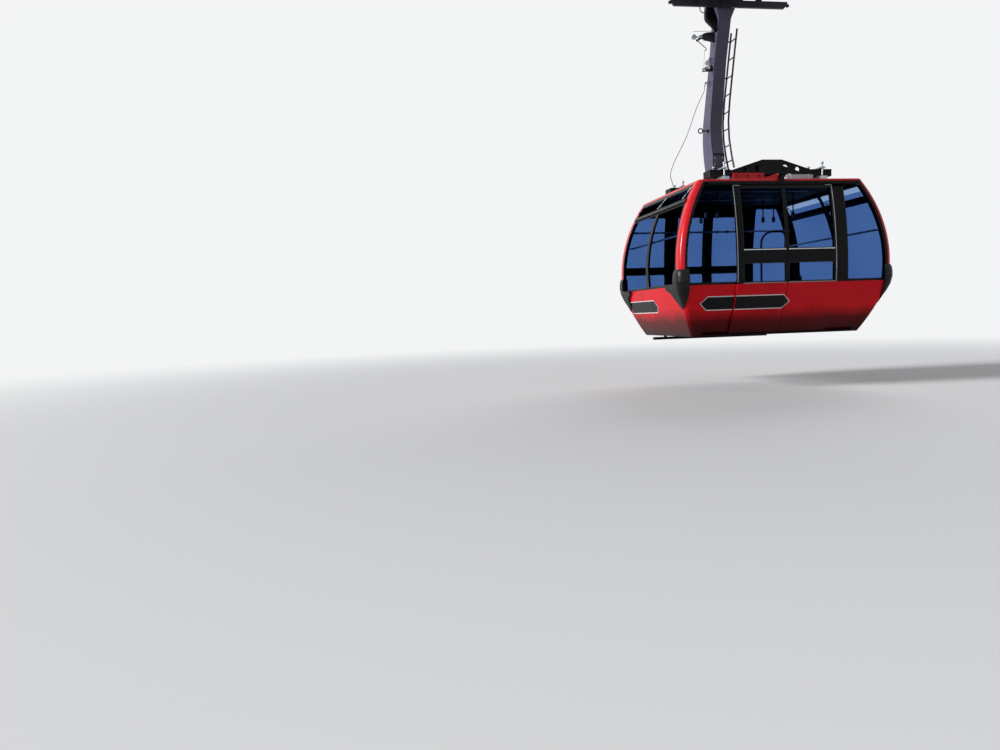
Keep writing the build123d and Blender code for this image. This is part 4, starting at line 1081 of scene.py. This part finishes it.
class GONDOLA_OT_interior(bpy.types.Operator):
    """Fit the moulded seats, backrests, straps and rail collars inside the cabin"""

    bl_idname = "gondola.interior"
    bl_label = "Interior"

    def execute(self, context):
        seat = slab(rounded(0.205, 0.225, 0.05), up(0.5403), up(0.572), "Z", 0.008)
        open_mesh(seat, "DESELECT")
        close_mesh(outside=False)
        max(seat.data.polygons, key=lambda face: face.center.z).select = True
        bpy.ops.object.mode_set(mode="EDIT")
        bpy.ops.mesh.inset(thickness=0.035, depth=-0.014)
        bpy.ops.mesh.inset(thickness=0.05, depth=-0.004)
        close_mesh(outside=False)
        places = mirrored([at(1.54, y, 0) for y in SEAT_ROW], MIRROR_X)
        places += [at(-0.75 + 0.5 * i, 1.20, 0) for i in range(4)]
        settle(ease(seat, 0.004), "seat_shells", "seat", places=places)
        back = slab(rounded(0.215, 0.155, 0.05, (0.0, up(0.735))), 1.752, 1.782, "X", 0.008)
        settle(back, "seat_backs", "seat", places=mirrored([at(0, y, 0) for y in SEAT_ROW], MIRROR_X))

        strap = swept(raised([(0, 0, CEILING), (0, 0, 2.30)]), 0.026, 0.004, soft=0.001)
        steps = [(0.018, 0.035), (0.030, 0.020), (0.034, 0.0), (0.034, -0.05), (0.028, -0.07), (0.014, -0.08)]
        knob = turned((0, 0, up(2.30)), steps)
        places = [at(x, y, 0) for x in STRAP_X for y in (-0.25, 0.5)]
        settle(strap, "hand_straps", "webbing", places=places)
        settle(knob, "strap_grips", "seat", places=places)

        collar = turned((0, 0, 0), [(0.021, -0.030), (0.029, -0.024), (0.029, 0.024), (0.021, 0.030)], (1, 0, 0), 20)
        rail_y = wall_at(WIDE, HANDRAIL) - 0.045 - 0.09 - 0.0008
        settle(collar, "rail_collars", "alloy", places=[at(x, rail_y, up(HANDRAIL)) for x in STAND_X])
        steps = [(0.055, 0.0), (0.055, 0.008), (0.040, 0.012), (0.024, 0.030), (0.022, 0.034)]
        foot = turned((0, 0, up(FLOOR_TOP)), steps, sides=24)
        settle(foot, "hoop_feet", "alloy", places=[at(x, -0.30, 0) for x in (0.20, 0.705)])
        mat = slab(rounded(1.28, 0.92, 0.05, (0.0, -0.10)), up(FLOOR_TOP), up(0.1135), "Z", 0.001)
        settle(mat, "floor_mat", "grit")
        return {"FINISHED"}


# Camera of the photograph: place, turn and lens
CAMERA_PLACE = (-7.151, -14.261, up(0.438))
CAMERA_YAW = 0.153
CAMERA_PITCH = -0.073
CAMERA_ROLL = -0.034
FOCAL_PIXELS = 764.0
PHOTO_WIDTH = 1000
SENSOR_WIDTH = 36.0

# Sun lamps: name, direction towards the lamp, softness in degrees and strength
LAMPS = [
    ("key", (-0.93, -0.05, 0.34), 14.0, 3.7),
    ("fill", (0.35, -0.80, 0.40), 50.0, 0.12),
    ("back", (0.50, 0.72, 0.48), 40.0, 1.2),
]
WORLD_LIGHT = 0.15

# Size of the floor, how far the camera sees, and the distances between which the floor fades into the backdrop
FLOOR_SIZE = 600.0
SIGHT = 500.0
FADE_START = 8.0
FADE_END = 26.0


def show_backdrop(tree, plain, backdrop, output, fade=None):
    """Shows the backdrop in place of a plain shader to rays seen directly, mirrored or through glass."""
    rays = add_node(tree, "LightPath")
    seen = (rays, "Is Camera Ray")
    for ray in ("Is Glossy Ray", "Is Transmission Ray"):
        seen = (add_node(tree, "Math", links={0: seen, 1: (rays, ray)}, operation="MAXIMUM"), "Value")
    if fade:
        seen = (add_node(tree, "Math", links={0: seen, 1: fade}, operation="MULTIPLY"), "Value")
    mix = add_node(tree, "MixShader", links={0: seen, 1: plain, 2: backdrop})
    link(mix, "Shader", tree.nodes[output], "Surface")


def camera_turn():
    """Turn of the photograph's camera, from its yaw, pitch and roll."""
    level = cos(CAMERA_PITCH)
    forward = Vector((sin(CAMERA_YAW) * level, cos(CAMERA_YAW) * level, sin(CAMERA_PITCH)))
    right = Vector((cos(CAMERA_YAW), -sin(CAMERA_YAW), 0.0))
    above = right.cross(forward)
    tilted_right = cos(CAMERA_ROLL) * right + sin(CAMERA_ROLL) * above
    tilted_above = -sin(CAMERA_ROLL) * right + cos(CAMERA_ROLL) * above
    return Matrix((tilted_right, tilted_above, -forward)).transposed().to_4x4()


class GONDOLA_OT_stage(bpy.types.Operator):
    """Lay the pale floor, set the soft lights and place the camera"""

    bl_idname = "gondola.stage"
    bl_label = "Stage"

    def execute(self, context):
        looks = context.scene.gondola
        scene = context.scene
        scene.view_settings.view_transform = "Standard"
        data = bpy.data.cameras.new("camera")
        data.sensor_width = SENSOR_WIDTH
        data.lens = FOCAL_PIXELS / PHOTO_WIDTH * SENSOR_WIDTH
        data.clip_end = SIGHT
        scene.camera = add_object("camera", data)
        scene.camera.matrix_world = at(*CAMERA_PLACE) @ camera_turn()
        backdrop = {"Color": (*looks.backdrop_colour, 1.0), "Strength": 1.0}

        bpy.ops.mesh.primitive_plane_add(size=FLOOR_SIZE, location=(0, 0, cad_box[0][2] - looks.floor_drop))
        floor = context.object
        floor.name = "floor"
        paint = bpy.data.materials.new("floor_paint")
        paint.use_nodes = True
        tree = paint.node_tree
        shader = tree.nodes["Principled BSDF"]
        shader.inputs["Base Color"].default_value = (*looks.floor_colour, 1.0)
        shader.inputs["Roughness"].default_value = 0.9
        shader.inputs[SPECULAR].default_value = 0.1
        coords = add_node(tree, "TexCoord")
        reach = add_node(tree, "VectorMath", links={0: (coords, "Object")}, operation="LENGTH")
        fade = add_node(tree, "MapRange", {"From Min": FADE_START, "From Max": FADE_END},
                        {"Value": (reach, "Value")}, interpolation_type="SMOOTHSTEP")
        glow = add_node(tree, "Emission", backdrop)
        show_backdrop(tree, (shader, "BSDF"), (glow, "Emission"), "Material Output", (fade, "Result"))
        floor.data.materials.append(paint)

        world = bpy.data.worlds.new("studio")
        scene.world = world
        world.use_nodes = True
        tree = world.node_tree
        light = tree.nodes["Background"]
        light.inputs["Color"].default_value = linear("EDEEF0")
        light.inputs["Strength"].default_value = WORLD_LIGHT
        pale = add_node(tree, "Background", backdrop)
        show_backdrop(tree, (light, "Background"), (pale, "Background"), "World Output")

        for name, towards, softness, strength in LAMPS:
            sun = bpy.data.lights.new(name, "SUN")
            sun.angle = radians(softness)
            sun.energy = strength
            lamp = add_object(name, sun)
            lamp.rotation_euler = Vector(towards).to_track_quat("Z", "Y").to_euler()
            lamp.visible_glossy = name == "key"
            lamp.visible_transmission = False
        return {"FINISHED"}


class GondolaLooks(bpy.types.PropertyGroup):
    """Sizes and colours of the gondola's looks"""

    cable_diameter: FloatProperty(
        name="Cable diameter", default=0.012, unit="LENGTH",
        description="Diameter of the slack cable between arm and roof",
    )
    seal_width: FloatProperty(
        name="Seal width", default=0.016, unit="LENGTH",
        description="How far the rubber seals reach in over the panes",
    )
    seal_height: FloatProperty(
        name="Seal height", default=0.003, unit="LENGTH",
        description="How far the rubber seals stand off the panes",
    )
    edging_width: FloatProperty(
        name="Edging width", default=0.011, unit="LENGTH",
        description="Width of the pale edging on the outer edges of the door leaves",
    )
    sign_border: FloatProperty(
        name="Sign border", default=0.016, unit="LENGTH",
        description="Width of the white border of the blank signs",
    )
    floor_drop: FloatProperty(
        name="Floor drop", default=0.9, unit="LENGTH",
        description="How far the studio floor lies under the cabin",
    )
    floor_colour: FloatVectorProperty(
        name="Floor colour", default=linear("E9EAEC")[:3], subtype="COLOR",
        description="Colour of the studio floor",
    )
    backdrop_colour: FloatVectorProperty(
        name="Backdrop colour", default=linear("F3F4F5")[:3], subtype="COLOR",
        description="Colour of the backdrop round the gondola",
    )


OPERATORS = [
    GONDOLA_OT_finishes,
    GONDOLA_OT_cable,
    GONDOLA_OT_seals,
    GONDOLA_OT_linings,
    GONDOLA_OT_door_trim,
    GONDOLA_OT_signs,
    GONDOLA_OT_end_trim,
    GONDOLA_OT_roof,
    GONDOLA_OT_arm,
    GONDOLA_OT_carriage,
    GONDOLA_OT_interior,
    GONDOLA_OT_stage,
]


class GONDOLA_PT_panel(bpy.types.Panel):
    """Buttons and sizes of the gondola's looks"""

    bl_label = "Gondola"
    bl_idname = "GONDOLA_PT_panel"
    bl_space_type = "VIEW_3D"
    bl_region_type = "UI"
    bl_category = "Gondola"

    def draw(self, context):
        for operator in OPERATORS:
            self.layout.operator(operator.bl_idname)
        for key in GondolaLooks.__annotations__:
            self.layout.prop(context.scene.gondola, key)


def register():
    for cls in [GondolaLooks, *OPERATORS, GONDOLA_PT_panel]:
        bpy.utils.register_class(cls)
    bpy.types.Scene.gondola = PointerProperty(type=GondolaLooks)


def unregister():
    del bpy.types.Scene.gondola
    for cls in reversed([GondolaLooks, *OPERATORS, GONDOLA_PT_panel]):
        bpy.utils.unregister_class(cls)


def main():
    register()
    bpy.ops.gondola.finishes()
    bpy.ops.gondola.cable()
    bpy.ops.gondola.seals()
    bpy.ops.gondola.linings()
    bpy.ops.gondola.door_trim()
    bpy.ops.gondola.signs()
    bpy.ops.gondola.end_trim()
    bpy.ops.gondola.roof()
    bpy.ops.gondola.arm()
    bpy.ops.gondola.carriage()
    bpy.ops.gondola.interior()
    bpy.ops.gondola.stage()


if __name__ == "__main__":
    main()
